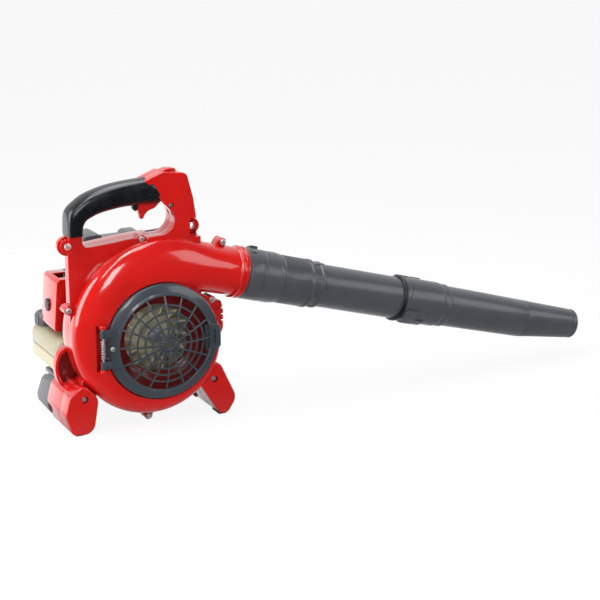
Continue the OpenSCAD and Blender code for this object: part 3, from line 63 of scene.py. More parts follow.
class Wire:
    """A socket of a material. Arithmetic on it adds Math nodes; node() adds any other node."""

    def __init__(self, tree, socket=None):
        self.tree, self.socket = tree, socket

    def node(self, kind, settings=None, out=0, **sockets):
        made = self.tree.nodes.new(kind)
        for name, value in (settings or {}).items():
            if name == "stops":
                while len(made.color_ramp.elements) < len(value):
                    made.color_ramp.elements.new(1.0)
                for stop, (at, shade) in zip(made.color_ramp.elements, value):
                    stop.position, stop.color = at, shade
            else:
                setattr(made, name, value)
        for name, value in sockets.items():
            place = int(name[1:]) if name[1:].isdigit() else name.replace("_", " ")
            if isinstance(value, Wire):
                self.tree.links.new(value.socket, made.inputs[place])
            else:
                made.inputs[place].default_value = value
        return Wire(self.tree, made.outputs[out])

    def math(self, operation, first, second=0.0, third=0.0):
        return self.node("ShaderNodeMath", {"operation": operation}, s0=first, s1=second, s2=third)

    def __add__(self, other):
        return self.math("ADD", self, other)

    __radd__ = __add__

    def __sub__(self, other):
        return self.math("SUBTRACT", self, other)

    def __rsub__(self, other):
        return self.math("SUBTRACT", other, self)

    def __mul__(self, other):
        return self.math("MULTIPLY", self, other)

    __rmul__ = __mul__

    def step(self, low, high):
        """0 below low, 1 above high, and a smooth rise between them."""
        return self.node("ShaderNodeMapRange", {"interpolation_type": "SMOOTHSTEP"},
                         s0=self, s1=low, s2=high)

    def noise(self, size, detail=2.0, stretch=(1, 1, 1), rough=0.5):
        """Cloudy noise whose blotches are about size metres across."""
        at = self.node("ShaderNodeMapping", {}, Vector=self, Scale=stretch)
        return self.node("ShaderNodeTexNoise", {}, Vector=at, Scale=1.0 / size, Detail=detail,
                         Roughness=rough)

    def blend(self, low, high):
        """A colour between low and high, by this value."""
        return self.node("ShaderNodeMix", {"data_type": "RGBA"}, out=2, s0=self, s6=low, s7=high)


def finish(name, **constants):
    """A new material: its shader with these fixed values, and the piece's own coordinates."""
    made = bpy.data.materials.new(name)
    made.use_nodes = True
    tree = made.node_tree
    shader = tree.nodes["Principled BSDF"]
    for socket, value in constants.items():
        shader.inputs[socket.replace("_", " ")].default_value = value
    return made, shader, Wire(tree).node("ShaderNodeTexCoord", {}, out=3)


def feed(shader, **wires):
    for socket, wire in wires.items():
        wire.tree.links.new(wire.socket, shader.inputs[socket.replace("_", " ")])


def linear(*screen):
    """A colour written as on a screen, red, green and blue from 0 to 255, as the shader wants it."""
    parts = [v / 255.0 for v in screen]
    return tuple(v / 12.92 if v <= 0.04045 else ((v + 0.055) / 1.055) ** 2.4 for v in parts) + (1.0,)


def alone(piece):
    bpy.ops.object.select_all(action="DESELECT")
    piece.select_set(True)
    bpy.context.view_layer.objects.active = piece


def lamp(name, size, place, target, power):
    bpy.ops.object.light_add(type="AREA", location=place)
    made = bpy.context.object
    made.name = name
    made.data.shape = "RECTANGLE"
    made.data.size, made.data.size_y = size
    made.data.energy = power
    made.rotation_euler = (Vector(target) - Vector(place)).to_track_quat("-Z", "Y").to_euler()


table, table_shader, table_at = finish("table_white", Roughness=0.6)
feed(table_shader, Base_Color=table_at.noise(0.4).blend(linear(238, 238, 238), linear(244, 244, 244)))
camera_ray, gloss_ray, clear_ray = 0, 3, 6   # outputs of the Light Path node
to_camera = table_at.node("ShaderNodeLightPath", {}, out=camera_ray)
to_gloss = table_at.node("ShaderNodeLightPath", {}, out=gloss_ray)
depth = table_at.node("ShaderNodeSeparateXYZ", {}, out=1, Vector=table_at)
# Painted reflection: to glossy rays the table glows, faint in front of the machine and bright behind it.
painted_reflection_glow = 0.04 + 1.3 * depth.step(-0.2, 0.25)
backdrop_and_painted_glow = table_at.node("ShaderNodeEmission", {}, Color=(1, 1, 1, 1), Strength=to_camera + to_gloss * painted_reflection_glow)
lit = Wire(table.node_tree, table_shader.outputs[0])
shown = table_at.node("ShaderNodeMixShader", {}, s0=to_camera * 0.9 + to_gloss, s1=lit, s2=backdrop_and_painted_glow)
table.node_tree.links.new(shown.socket, table.node_tree.nodes["Material Output"].inputs["Surface"])
bpy.ops.mesh.primitive_plane_add(size=40, location=(0, 0, 0))
floor = bpy.context.object
floor.name = "table"
floor.data.materials.append(table)

sky = bpy.data.worlds.new("soft_room")
bpy.context.scene.world = sky
sky.use_nodes = True
sky_at = Wire(sky.node_tree)
room = sky.node_tree.nodes["Background"]
seen = sky_at.math("MAXIMUM", sky_at.node("ShaderNodeLightPath", {}, out=camera_ray),
                   sky_at.node("ShaderNodeLightPath", {}, out=clear_ray))
in_gloss = sky_at.node("ShaderNodeLightPath", {}, out=gloss_ray)
behind = sky_at.node("ShaderNodeSeparateXYZ", {}, out=1,
                     Vector=sky_at.node("ShaderNodeTexCoord", {}, out=0)).step(-0.3, 0.5)
level = 0.38 + in_gloss * (0.7 * behind - 0.3)
level = seen + (1 - seen) * level
sky.node_tree.links.new(level.socket, room.inputs["Strength"])
room.inputs["Color"].default_value = (1, 1, 1, 1)

lamp("lamp_above", (1.5, 0.7), (-0.2, 0.1, 1.6), (0, 0, 0.15), 16)
lamp("lamp_left", (0.9, 1.3), (-1.7, 0.1, 0.75), (-0.2, 0, 0.15), 20)
lamp("lamp_front", (0.5, 0.9), (-0.9, -2.1, 1.3), (0, 0, 0.12), 12)
lamp("lamp_strip", (0.12, 0.9), (-0.75, -0.5, 1.25), (-0.2, -0.05, 0.2), 3)
lamp("lamp_tube", (1.9, 0.75), (1.35, -1.25, 0.9), (0.1, -0.05, 0.14), 9)

turn_a, tip_e = math.radians(-26.6), math.radians(14.7)
away = Vector((math.sin(turn_a) * math.cos(tip_e), -math.cos(turn_a) * math.cos(tip_e), math.sin(tip_e)))
bpy.ops.object.camera_add(location=(-1.0070, -1.9461, 0.6967))
camera = bpy.context.object
camera.rotation_euler = (-away).to_track_quat("-Z", "Y").to_euler()
camera.data.sensor_width = 36
camera.data.lens = 92
bpy.context.scene.camera = camera
bpy.context.scene.view_settings.view_transform = "Standard"

# ---------------------------------------------------------------- fan case, front half
# The intake-side half of the spiral fan case, one glossy red moulding about 3 mm thick with a
# seat for the guard, an inlet bell and the first half of the outlet duct. It is screwed to the rear half.
# Pieces are shaped in millimetres about the fan axis, then settled into the machine's place.
# The spiral grows from start_r by growth each turn, counted back from the tongue, and runs at join into
# a straight duct that droops and ends reach along and offset above the axis.
to_frame = Matrix.Translation((-0.283823, -0.0535, 0.1193)) @ Matrix.Scale(0.001, 4)
droop = math.radians(14.7)
tongue, join = 25.0, 309.7
start_r, growth = 84.0, 64.0
offset, reach = 103.658, 106.0
seat_r, seat_y = 81.5, -34.3
duct_r, duct_length = 34.0, 75.0
pocket_left, pocket_right, pocket_top = -94.0, -78.4, 31.7


def settle(piece, name, body, material, slot, angle=32, where=to_frame, stands_for=()):
    """Ends a piece: its place in its mesh, soft shading, finish, and the body it rides on."""
    piece.data.transform(where)
    piece.name = piece.data.name = name
    piece.data.materials.clear()
    piece.data.materials.append(material)
    alone(piece)
    bpy.ops.object.shade_smooth_by_angle(angle=math.radians(angle))
    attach(piece, body)
    if stands_for:
        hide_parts(*stands_for)
    return piece


def editing(piece):
    """Opens the piece in edit mode, all of it selected."""
    alone(piece)
    bpy.ops.object.mode_set(mode="EDIT")
    bpy.ops.mesh.select_all(action="SELECT")


def tidy(piece, merge=0.01):
    """Closes seams and turns the faces outwards."""
    editing(piece)
    bpy.ops.mesh.remove_doubles(threshold=merge)
    bpy.ops.mesh.dissolve_degenerate(threshold=merge / 4)
    bpy.ops.mesh.delete_loose(use_verts=True, use_edges=True, use_faces=False)
    bpy.ops.mesh.select_all(action="SELECT")
    bpy.ops.mesh.normals_make_consistent(inside=False)
    bpy.ops.object.mode_set(mode="OBJECT")
    return piece


def sheet(rows, columns, place):
    """A grid whose points are moved by place(row, column), both counted from 0."""
    bpy.ops.object.select_all(action="DESELECT")
    bpy.ops.mesh.primitive_grid_add(x_subdivisions=rows, y_subdivisions=columns, size=1)
    piece = bpy.context.object
    for point in piece.data.vertices:
        row = round((point.co.x + 0.5) * rows)
        column = round((point.co.y + 0.5) * columns)
        point.co = place(row, column)
    return piece


def joined(*pieces):
    bpy.ops.object.select_all(action="DESELECT")
    for piece in pieces:
        piece.select_set(True)
    bpy.context.view_layer.objects.active = pieces[0]
    bpy.ops.object.join()
    return pieces[0]


def modified(piece, kind, **settings):
    """Adds a modifier and applies it."""
    alone(piece)
    made = piece.modifiers.new(kind.lower(), kind)
    for name, value in settings.items():
        setattr(made, name, value)
    bpy.ops.object.modifier_apply(modifier=made.name)
    return piece


def shaded(colour, times, plus=0.0):
    """The colour made lighter or darker."""
    return tuple(min(1.0, times * part + plus) for part in colour[:3]) + (1.0,)


def bumped(shader, strength, distance, height):
    """Raises and sinks the surface by this height, distance metres at most."""
    feed(shader, Normal=height.node("ShaderNodeBump", {}, Strength=strength, Distance=distance,
                                    Height=height))


def moulded(name, colour, rough, peel, grain, coat=0.0):
    """Moulded plastic: faint mould flow in the colour, fine grain, and soft handling marks."""
    made, shader, at = finish(name, IOR=1.48, Coat_Roughness=0.06, Coat_Weight=coat)
    flow = at.noise(0.06, 3.0).step(0.3, 0.7)
    scuff = at.noise(0.0016, 2.0, (1.0, 0.12, 0.5)).step(0.66, 0.74) * at.noise(0.02).step(0.5, 0.62)
    haze = at.noise(0.018, 3.0)
    feed(shader, Base_Color=flow.blend(shaded(colour, 0.93), shaded(colour, 1.05, 0.001)),
         Roughness=rough + 0.08 * (haze - 0.5) + 0.14 * scuff)
    bumped(shader, 0.5, 0.00004, peel * at.noise(0.0045, 1.0) + grain * at.noise(0.0006, 2.0) - 0.3 * scuff)
    return made


gloss_red = moulded("gloss_red", linear(198, 18, 14), 0.17, 0.7, 0.05, coat=1.0)


def rim_r(turn):
    return start_r + growth * max(turn, 0.0) / 360.0


def edge_r(turn):
    return 80.0 + 0.15 * (rim_r(turn) - start_r)


def mix(a, b, u):
    return a + (b - a) * u


def eased(u):
    return u * u * (3 - 2 * u)


def tilted(along, y, up):
    """A point given along and across the drooping outlet."""
    return Vector((along * math.cos(droop) + up * math.sin(droop), y,
                   up * math.cos(droop) - along * math.sin(droop)))


def case_half(side, band, depth, seat):
    """Half of the case: the rim and face of the spiral, then the duct, skinned in one sheet."""
    spiral, duct, lip, face, arc, rim, low_arc = 120, 30, 3, 8, 22, 5, 20
    lowest = seat_r + 0.8 if seat else 14.5
    floor_y = seat_y if seat else side * (depth - 3.0)

    def section(inner, outer, band_w, depth_w, column, flat):
        """Distance from the axis and depth of one point of the case's cross-section."""
        reach_in = lowest if flat else inner
        if column < lip:
            if not flat:
                return inner, side * depth_w
            top = depth_w if inner >= lowest else band_w + (depth_w - band_w) * math.sqrt(
                max(0.0, 1 - ((lowest - inner) / (outer - inner)) ** 2))
            return (lowest - 0.8, lowest - 0.8, lowest - 0.55)[column], \
                   (floor_y, side * (top - 0.8), side * (top - 0.25))[column]
        column -= lip
        if column < face:
            r = mix(reach_in, max(inner, reach_in), column / face)
            if r >= inner:
                share = (r - inner) / (outer - inner)
                return r, side * (band_w + (depth_w - band_w) * math.sqrt(1 - share * share))
            return r, side * depth_w
        column -= face
        first = 90.0 if inner >= reach_in else math.degrees(
            math.acos((reach_in - inner) / (outer - inner)))
        if column <= arc:
            a = math.radians(first * (1 - column / arc))
            return mix(inner, outer, math.cos(a)), side * mix(band_w, depth_w, math.sin(a))
        column -= arc + 1
        seam = min(0.6, band_w * 0.5)
        return ((outer, side * mix(band_w, seam, 0.5)), (outer, side * seam),
                (outer - seam, side * 0.02), (outer - 3.0, side * 0.02))[min(column, 3)]

    columns = lip + face + arc + rim

    def place(row, column):
        if row <= spiral:
            turn = mix(join - 360.0, join, row / spiral)
            a = math.radians(tongue - turn)
            r, y = section(edge_r(turn), rim_r(turn), band, depth, column, True)
            return Vector((r * math.cos(a), y, r * math.sin(a)))
        u = (row - spiral - 1) / duct
        w = eased(u)
        up, y = section(mix(edge_r(join), offset, w), mix(rim_r(join), offset + duct_r, w),
                        mix(band, 0.5, w), mix(depth, duct_r, w), column, False)
        return tilted(duct_length * u, y, up)

    upper = sheet(spiral + 1 + duct, columns, place)

    def place_low(row, column):
        u = row / duct
        w = eased(u)
        top, low = mix(edge_r(join), offset, w), mix(offset - duct_r - 1.4, offset - duct_r, w)
        b, d = mix(band, 0.5, w), mix(depth, duct_r, w)
        if column <= low_arc:
            a = math.radians(90.0 * (1 - column / low_arc))
            up, y = mix(top, low, math.cos(a)), mix(b, d, math.sin(a))
        else:
            seam = min(0.6, b * 0.5)
            up, y = ((low, seam), (low + seam, 0.02), (low + 3.0, 0.02))[column - low_arc - 1]
        if seat and math.hypot(duct_length * u, up) < seat_r + 0.4:
            y = min(y, -seat_y - 0.2)
        return tilted(duct_length * u, side * y, up)

    lower = sheet(duct, low_arc + 3, place_low)
    return tidy(joined(upper, lower), 0.02)


def outlined(points, fill="NGON"):
    """A closed line through these points, filled or bare."""
    bpy.ops.object.select_all(action="DESELECT")
    bpy.ops.mesh.primitive_circle_add(vertices=len(points), radius=1, fill_type=fill)
    piece = bpy.context.object
    for point, place in zip(piece.data.vertices, points):
        point.co = place
    return piece


def turned(profile, steps=96, axis="Y"):
    """A closed profile of (radius, along) spun about the fan axis or, for Z, about a tube."""
    piece = outlined([(r, along, 0) if axis == "Y" else (r, 0, along) for r, along in profile], "NOTHING")
    editing(piece)
    bpy.ops.mesh.spin(steps=steps, angle=2 * math.pi, center=(0, 0, 0),
                      axis=(0, 1, 0) if axis == "Y" else (0, 0, 1))
    bpy.ops.object.mode_set(mode="OBJECT")
    return tidy(piece, 0.001)


def rounded(points, radius=1.0, steps=4):
    """The same outline with each corner turned into an arc, of its own radius where it has one."""
    out = []
    for i, corner in enumerate(points):
        a, b, c = (Vector(points[k % len(points)][:2]) for k in (i - 1, i, i + 1))
        wide = corner[2] if len(corner) > 2 else radius
        u, v = (a - b).normalized(), (c - b).normalized()
        half = math.acos(max(-1, min(1, u.dot(v)))) / 2
        back = min(wide / math.tan(max(half, 0.01)), 0.45 * (a - b).length, 0.45 * (c - b).length)
        r = back * math.tan(half)
        if half > math.radians(86) or r < 0.001:
            out.append(tuple(b))
            continue
        middle = b + (u + v).normalized() * r / math.sin(half)
        start, end = b + u * back - middle, b + v * back - middle
        for k in range(steps + 1):
            out.append(tuple(middle + start.slerp(end, k / steps) * r))
    return out


front = case_half(-1, 15.0, 37.0, True)
modified(front, "SOLIDIFY", thickness=2.0, offset=-1)
editing(front)
for place, way in (((pocket_left, 0, 0), (1, 0, 0)), ((pocket_right, 0, 0), (1, 0, 0)),
                   ((0, 0, -pocket_top), (0, 0, 1)), ((0, 0, pocket_top), (0, 0, 1))):
    bpy.ops.mesh.select_all(action="SELECT")
    bpy.ops.mesh.bisect(plane_co=place, plane_no=way)
bpy.ops.mesh.select_mode(type="FACE")
bpy.ops.mesh.select_all(action="DESELECT")
bpy.ops.object.mode_set(mode="OBJECT")
for skin in front.data.polygons:
    x, y, z = skin.center
    skin.select = pocket_left < x < pocket_right and abs(z) < pocket_top
bpy.ops.object.mode_set(mode="EDIT")
bpy.ops.mesh.delete(type="FACE")
bpy.ops.object.mode_set(mode="OBJECT")
bell = turned(rounded([(81.0, -34.3), (70.5, -34.3), (66.0, -30.0), (56.0, -21.5), (48.0, -17.0),
                       (46.2, -13.5), (49.0, -12.0), (58.0, -18.5), (69.0, -28.0), (74.0, -31.5),
                       (81.0, -31.5)], 3.0), 128)
settle(front, "case_front_shell", "machine", gloss_red, "red_plastic", 40, stands_for=("fan_case_front",))
# Painted shade: a darkened copy of the case's red plastic, for the inlet bell and the side wall that lie in
# shadow.
shade_painted_red = moulded("shade_painted_red", linear(112, 12, 10), 0.26, 0.7, 0.1, coat=0.5)
settle(bell, "case_intake_bell", "machine", shade_painted_red, "red_plastic", 50)

# ---------------------------------------------------------------- fan case, rear half
# The engine-side half of the same red moulding, screwed to the front half along the rim. Its back wall
# carries the engine, and a curved skirt and a rib close the gap to the tank.
rear = case_half(1, 22.0, 26.0, False)
modified(rear, "SOLIDIFY", thickness=2.0, offset=-1)


def slab(line, y0, y1, corner=0.0, front=0.0, back=0.0, along="Y", steps=4):
    """A plate of this outline from one depth to another, its corners and its two rims rounded."""
    piece = outlined([(x, y0, z) if along == "Y" else (x, z, y0) for x, z in line])
    thrust = (0, y1 - y0, 0) if along == "Y" else (0, 0, y1 - y0)
    editing(piece)
    bpy.ops.mesh.extrude_region_move(TRANSFORM_OT_translate={"value": thrust})
    bpy.ops.mesh.select_all(action="SELECT")
    bpy.ops.mesh.normals_make_consistent(inside=False)
    bpy.ops.object.mode_set(mode="OBJECT")
    deep = 1 if along == "Y" else 2

    def bevelled(chosen, width):
        bpy.ops.object.mode_set(mode="EDIT")
        bpy.ops.mesh.select_mode(type="EDGE")
        bpy.ops.mesh.select_all(action="DESELECT")
        bpy.ops.object.mode_set(mode="OBJECT")
        points = piece.data.vertices
        for edge in piece.data.edges:
            a, b = (points[i].co for i in edge.vertices)
            edge.select = chosen(a, b)
        bpy.ops.object.mode_set(mode="EDIT")
        bpy.ops.mesh.bevel(offset=width, segments=steps, profile=0.5, affect="EDGES",
                           clamp_overlap=True)
        bpy.ops.object.mode_set(mode="OBJECT")

    if corner:
        bevelled(lambda a, b: abs(a[deep] - b[deep]) > 0.5 * abs(y1 - y0), corner)
    for level, width in ((y0, front), (y1, back)):
        if width:
            bevelled(lambda a, b: max(abs(a[deep] - level), abs(b[deep] - level)) < 1e-4, width)
    return piece


def oblong(x0, x1, z0, z1):
    """The four corners of a rectangle."""
    return [(x0, z0), (x1, z0), (x1, z1), (x0, z1)]


def cut(piece, *tools):
    """Cuts the tools out of the piece and throws them away."""
    for tool in tools:
        modified(piece, "BOOLEAN", operation="DIFFERENCE", object=tool, solver="EXACT")
        bpy.data.objects.remove(tool)
    return piece


def moved(piece, x, y, z):
    piece.data.transform(Matrix.Translation((x, y, z)))
    return piece


def smooth(points, steps=6):
    """A smooth line through given points."""
    out = []
    for i in range(len(points) - 1):
        a, b = Vector(points[max(i - 1, 0)]), Vector(points[i])
        c, d = Vector(points[i + 1]), Vector(points[min(i + 2, len(points) - 1)])
        for k in range(steps):
            u = k / steps
            out.append(tuple(0.5 * (2 * b + (c - a) * u + (2 * a - 5 * b + 4 * c - d) * u * u
                                    + (3 * b - a - 3 * c + d) * u * u * u)))
    return out + [tuple(points[-1])]


def round_line(first, last, gap, step=3):
    """Points on the case's spiral, a gap inside its rim, from one turn angle to another."""
    line = []
    count = round(abs(last - first) / step)
    for k in range(count + 1):
        turn = mix(first, last, k / count)
        a = math.radians(tongue - turn)
        line.append(((rim_r(turn) - gap) * math.cos(a), (rim_r(turn) - gap) * math.sin(a)))
    return line


skirt = slab(round_line(165, 240, 11) + round_line(240, 165, 14), 23, 46, back=0.8)
rib = slab(smooth([(-116, -4), (-130, -14), (-135.5, -34), (-131, -56), (-118, -66)], 6)
           + smooth([(-116, -62), (-127, -52), (-131, -34), (-126, -18), (-112, -8)], 6),
           14, 26, front=1.0, back=1.0)
vents = slab([(80, -16), (104, -16), (109, -8), (109.5, 20), (106, 34), (76, 34)], 10, 40, 3, 1.2, 1.2)
for z in (3, 12, 21):
    for x, y0, y1 in ((90, 6, 13), (107, 12, 38)):
        cut(vents, slab(oblong(x, 128, z, z + 2.6), y0, y1))
# The side wall is the same red moulding drawn in the darkened red: painted shade in the recess behind the rib.
wall = slab(smooth([(-112, -6), (-124, -13), (-131, -34), (-127, -55), (-114, -63)], 6)
            + [(-96, -66), (-88, -40), (-92, -4)], 21, 24, front=0.6, back=0.6)
settle(wall, "case_side_wall", "machine", shade_painted_red, "red_plastic", 40)
rear = joined(rear, skirt, rib, vents)
settle(rear, "case_rear_shell", "machine", gloss_red, "red_plastic", 40, stands_for=("fan_case_rear",))

# ---------------------------------------------------------------- outlet neck
# The round end of the duct, moulded half on each case half: a plain neck, a grooved lip that the
# first tube butts against, and the spigot that it slides over.
to_tube = (to_frame @ Matrix.Rotation(droop, 4, "Y") @ Matrix.Translation((reach, 0, offset))
           @ Matrix.Rotation(math.radians(90), 4, "Y"))
neck = turned([(30, -33), (34.0, -33), (34.0, -13.6), (34.3, -12.6), (35.4, -11.5), (36.2, -11.1),
               (36.6, -10.6), (36.6, -7.5), (36.3, -7.05), (35.4, -6.9), (35.4, -5.1), (36.3, -4.95),
               (36.6, -4.5), (36.6, -0.5), (36.1, 0), (31.9, 0), (31.9, 21.3), (31.2, 22),
               (30, 22)], 128, "Z")
settle(neck, "outlet_neck", "machine", gloss_red, "red_plastic", 40, where=to_tube)

# ---------------------------------------------------------------- case lugs and their screws
# Five pairs of red bosses round the rim, webbed to it, pulled together by zinc-plated screws with
# pan heads; two longer screws sit in the feet and one in the pillar.
lugs = [((-17, 137), [(-25, 138), (-10, 139), (-5, 125), (-31, 124)]),
        ((101, 121), [(95, 125), (108, 121), (101, 103), (84, 107)]),
        ((-122, 50), [(-123, 57), (-123, 43), (-107, 39), (-107, 57)]),
        ((83, 42), [(76, 48), (90, 41), (76, 26), (64, 40)]),
        ((-13, -112), [(-20, -112), (-6, -112), (-2, -97), (-24, -97)])]
bosses = []
for (x, z), web in lugs:
    sleeve = turned([(2.4, -10.0), (4.9, -10.0), (5.5, -9.4), (5.5, -0.5), (5.1, 0), (5.5, 0.5),
                     (5.5, 9.4), (4.9, 10), (2.4, 10)], 32)
    bosses += [moved(sleeve, x, 0, z), slab(web, -8, -0.15, 2, 1.5, 0.3), slab(web, 0.15, 8, 2, 0.3, 1.5)]
settle(joined(*bosses), "case_lugs", "machine", gloss_red, "red_plastic")


def plated(name, colour, rough, spangle, tarnish):
    """Bare or plated metal: faint crystals, turning marks and dull spots."""
    made, shader, at = finish(name, Metallic=0.82)
    grains = at.node("ShaderNodeTexVoronoi", {}, out=1, Vector=at, Scale=1.0 / spangle)
    blotch = at.noise(0.006, 4.0).step(0.45, 0.75)
    base = grains.node("ShaderNodeSeparateColor", {}, Color=grains).blend(
        colour, shaded(colour, 1.12))
    feed(shader, Base_Color=(tarnish * blotch).blend(base, linear(96, 92, 86)),
         Roughness=rough + 0.22 * blotch * tarnish + 0.08 * at.noise(0.0008, 1.0))
    bumped(shader, 0.35, 0.00002, at.noise(0.0005, 2.0))
    return made


zinc = plated("bright_zinc", linear(226, 226, 228), 0.3, 0.0009, 0.4)


def screw(x, z, head_y, head_r, length):
    """A pan-head screw with a cross recess, its head at head_y facing the front."""
    body = turned(rounded([(0, head_y - 2.9), (head_r * 0.66, head_y - 2.9), (head_r, head_y - 1.9),
                           (head_r, head_y), (2.2, head_y), (2.2, head_y + length), (0, head_y + length)],
                          0.5, 3), 32)
    for w, h in ((0.42, head_r * 0.62), (head_r * 0.62, 0.42)):
        cut(body, slab(oblong(-w, w, -h, h), head_y - 4, head_y - 1.5))
    return moved(body, x, 0, z)


foot_screws = ((-110, -70), (78, -67))
settle(joined(*[screw(x, z, -10.05, 4.0, 19) for (x, z), web in lugs], screw(24, 180, -12.05, 3.4, 22)),
       "case_screw_set", "machine", zinc, "steel", stands_for=("case_screws",))
settle(joined(*[screw(x, z, -23.05, 4.0, 40) for x, z in foot_screws]),
       "foot_screw_set", "machine", zinc, "steel", stands_for=("foot_screws",))

# ---------------------------------------------------------------- handle pillar, bracket and eyelets
# Moulded on both case halves: the hollow pillar in front of the grip, the flat bracket behind it, and
# two rings for a shoulder strap. The halves meet in a fine seam at the middle.
pillar_line = rounded([(-13, 215.4, 2), (2, 221.5, 8), (13, 226.0, 9), (47, 222.5, 8), (56, 188, 60),
                       (60, 160, 60), (61, 147, 10), (66, 133.5, 1.5), (66, 118, 1), (-12, 118, 1),
                       (-12, 139.4, 3), (16, 141, 20), (28.5, 153, 16), (28.5, 169, 16), (14.2, 182.6, 4),
                       (5.5, 194, 30), (-8, 211, 8)], 6, 8)
bracket_line = rounded([(-119, 30, 1), (-119, 150, 1.8), (-99, 150, 1.8), (-98, 131.5, 15),
                        (-60, 134.5, 90), (-37, 137.5, 90), (6, 140.5, 4), (6, 122, 1), (-60, 90, 1),
                        (-100, 30, 1)], 3, 8)


def cylinder(x, z, r, y0, y1):
    return moved(turned(oblong(0, r, y0, y1), 48), x, 0, z)


def half(side, line, outer, far):
    """One half of a moulding, from the fine seam at the middle out to far, its outer rim rounded."""
    y0, y1, *rims = (-far, -split, outer, 0.35) if side < 0 else (split, far, 0.35, outer)
    return slab(line, y0, y1, 0, *rims)


split, eyelet_r = 0.12, 4.6
(rear_x, rear_z), (fore_x, fore_z) = (-119, 136), (58, 147)
handle = []
for side in (-1, 1):
    window = slab(rounded(oblong(50.5, 90, 134.5, 160), 3), *((-30, -4) if side < 0 else (4, 30)))
    pillar = cut(half(side, pillar_line, 2.6, 17), window, cylinder(fore_x, fore_z, eyelet_r, -6, 6),
                 slab(oblong(15, 36.6, 213, 240), -8.6, 8.6, 1.5))
    if side < 0:
        cut(pillar, cylinder(24, 180, 3.7, -20, -12))
    handle += [pillar, cut(half(side, bracket_line, 1.4, 7.5), cylinder(rear_x, rear_z, eyelet_r, -20, 20))]
for x, z, r in ((rear_x, rear_z, 13.0), (fore_x, fore_z, 11.0)):
    ring = [(eyelet_r, -4), (7.0, -4), (7.6, -2.9), (r - 3.4, -2.9), (r - 2.8, -4), (r, -4)]
    handle.append(moved(turned(rounded(ring + [(a, -y) for a, y in reversed(ring)], 0.5), 64), x, 0, z))
boss = turned(rounded([(eyelet_r, -8.6), (8.4, -8.6), (10.2, -7.4), (10.2, -3), (eyelet_r, -3)], 0.7), 64)
handle.append(moved(boss, rear_x, 0, rear_z))
ledge = slab(rounded([(-97, 129.2), (-84, 128.2), (-60, 131.2), (-37, 134.2), (0, 137.2), (0, 140.4, 1),
                      (-37, 137.4, 60), (-60, 134.4, 60), (-84, 131.6, 12), (-97, 132.5, 1)], 1, 6),
             6, 33, 0, 1.0, 1.2)
handle.append(ledge)
cheek = slab(rounded([(-119, 141), (-119, 149.6), (-100, 149.6), (-100, 141)], 1.5), -13, 13, 0, 1.5, 1.5)
settle(joined(*handle, cheek), "handle_pillar_and_bracket", "machine", gloss_red, "red_plastic")

# ---------------------------------------------------------------- feet
# Two red feet moulded on the case halves, each with a sunk screw in its face and a small black rubber
# pad under its toe.
left_foot = [(-130, -64, 10), (-111, -48, 11), (-90, -71, 16), (-98, -119.2, 24), (-127.5, -119.2, 9),
             (-137, -90, 16)]
right_foot = [(70, -43, 7), (87, -44, 13), (112, -98, 18), (98, -119.2, 10), (86, -119.2, 8),
              (56, -72, 6)]
feet = []
for line, (x, z) in zip((left_foot, right_foot), foot_screws):
    line = rounded(line, 3, 9)
    feet += [cut(half(-1, line, 2.4, 29), cylinder(x, z, 5.0, -31, -23)), half(1, line, 0.5, 54.9)]
web = [(-111, -56), (-100, -44), (-82, -66), (-95, -84)]
feet += [slab(web, -9, -split, 2, 1.5, 0.3), slab(web, split, 20, 2, 0.3, 1.2)]
settle(joined(*feet), "case_feet", "machine", gloss_red, "red_plastic")


def rubbery(name, colour, rough):
    """Soft black rubber or over-moulding: matt bloom, fine leathery grain and rubbed spots."""
    made, shader, at = finish(name, IOR=1.5, Coat_Weight=0.12, Coat_Roughness=0.25)
    bloom = at.noise(0.03, 4.0).step(0.35, 0.75)
    rubbed = at.noise(0.012, 3.0).step(0.52, 0.7)
    feed(shader, Base_Color=bloom.blend(colour, shaded(colour, 1.6, 0.003)),
         Roughness=rough + 0.12 * bloom - 0.1 * rubbed)
    bumped(shader, 0.6, 0.00005, at.noise(0.0009, 3.0) + 0.6 * at.noise(0.004, 1.0))
    return made


rubber = rubbery("black_rubber", linear(22, 24, 27), 0.42)
pads = [slab(rounded([(x0, -116.2), (x1, -116.2), (x2, -119.3), (x3, -119.3)], 0.8), -28.6, -6, 0, 0.6, 0.6)
        for x0, x1, x2, x3 in ((-112.3, -125.2, -123.4, -113.4), (95.6, 82.3, 84.2, 94.2))]
settle(joined(*pads), "toe_pads", "machine", rubber, "black_rubber")

# ---------------------------------------------------------------- grip
# A black over-moulded shell round the handle bar, lofted through sections that follow the hand: square
# where it stands on the bracket, oval along the top, and cut on a curve where it meets the pillar.
grip_top = smooth([(-119, 150), (-119, 163), (-118.8, 175.5), (-115.8, 184.5), (-106, 193.5), (-89.5, 203.4),
                   (-65, 211.0), (-38, 215.4), (-9, 217.6)], 6)
grip_under = smooth([(-99, 150), (-98.6, 156), (-96.4, 162.5), (-91.5, 168), (-84, 172), (-73, 176),
                     (-58, 179), (-36, 181.8), (11.5, 183)], 6)
around, last = 48, 48


def grip_place(row, column):
    """One point of the grip; two rows more at each end draw the ring in and close it."""
    row -= 2
    share = 1.0 if 0 <= row <= last else (0.93 if row in (-1, last + 1) else 0.0)
    k = max(0, min(last, row))
    top, under = Vector(grip_top[k]), Vector(grip_under[k])
    square = mix(5.0, 2.7, eased(min(1.0, k / 20)))
    a = 2 * math.pi * column / around
    across = math.copysign(abs(math.cos(a)) ** (2 / square), math.cos(a))
    width = 18.0 * math.copysign(abs(math.sin(a)) ** (2 / square), math.sin(a))
    point = (top + under) / 2 + (top - under) / 2 * across
    bulge = 4.0 * eased(max(0.0, (k - last + 8) / 8)) * (1 - across * across)
    ahead = 0.7 * (bulge + (1.0 if row > last else 0.0))
    return Vector((point.x + ahead, width * share, point.y + ahead))


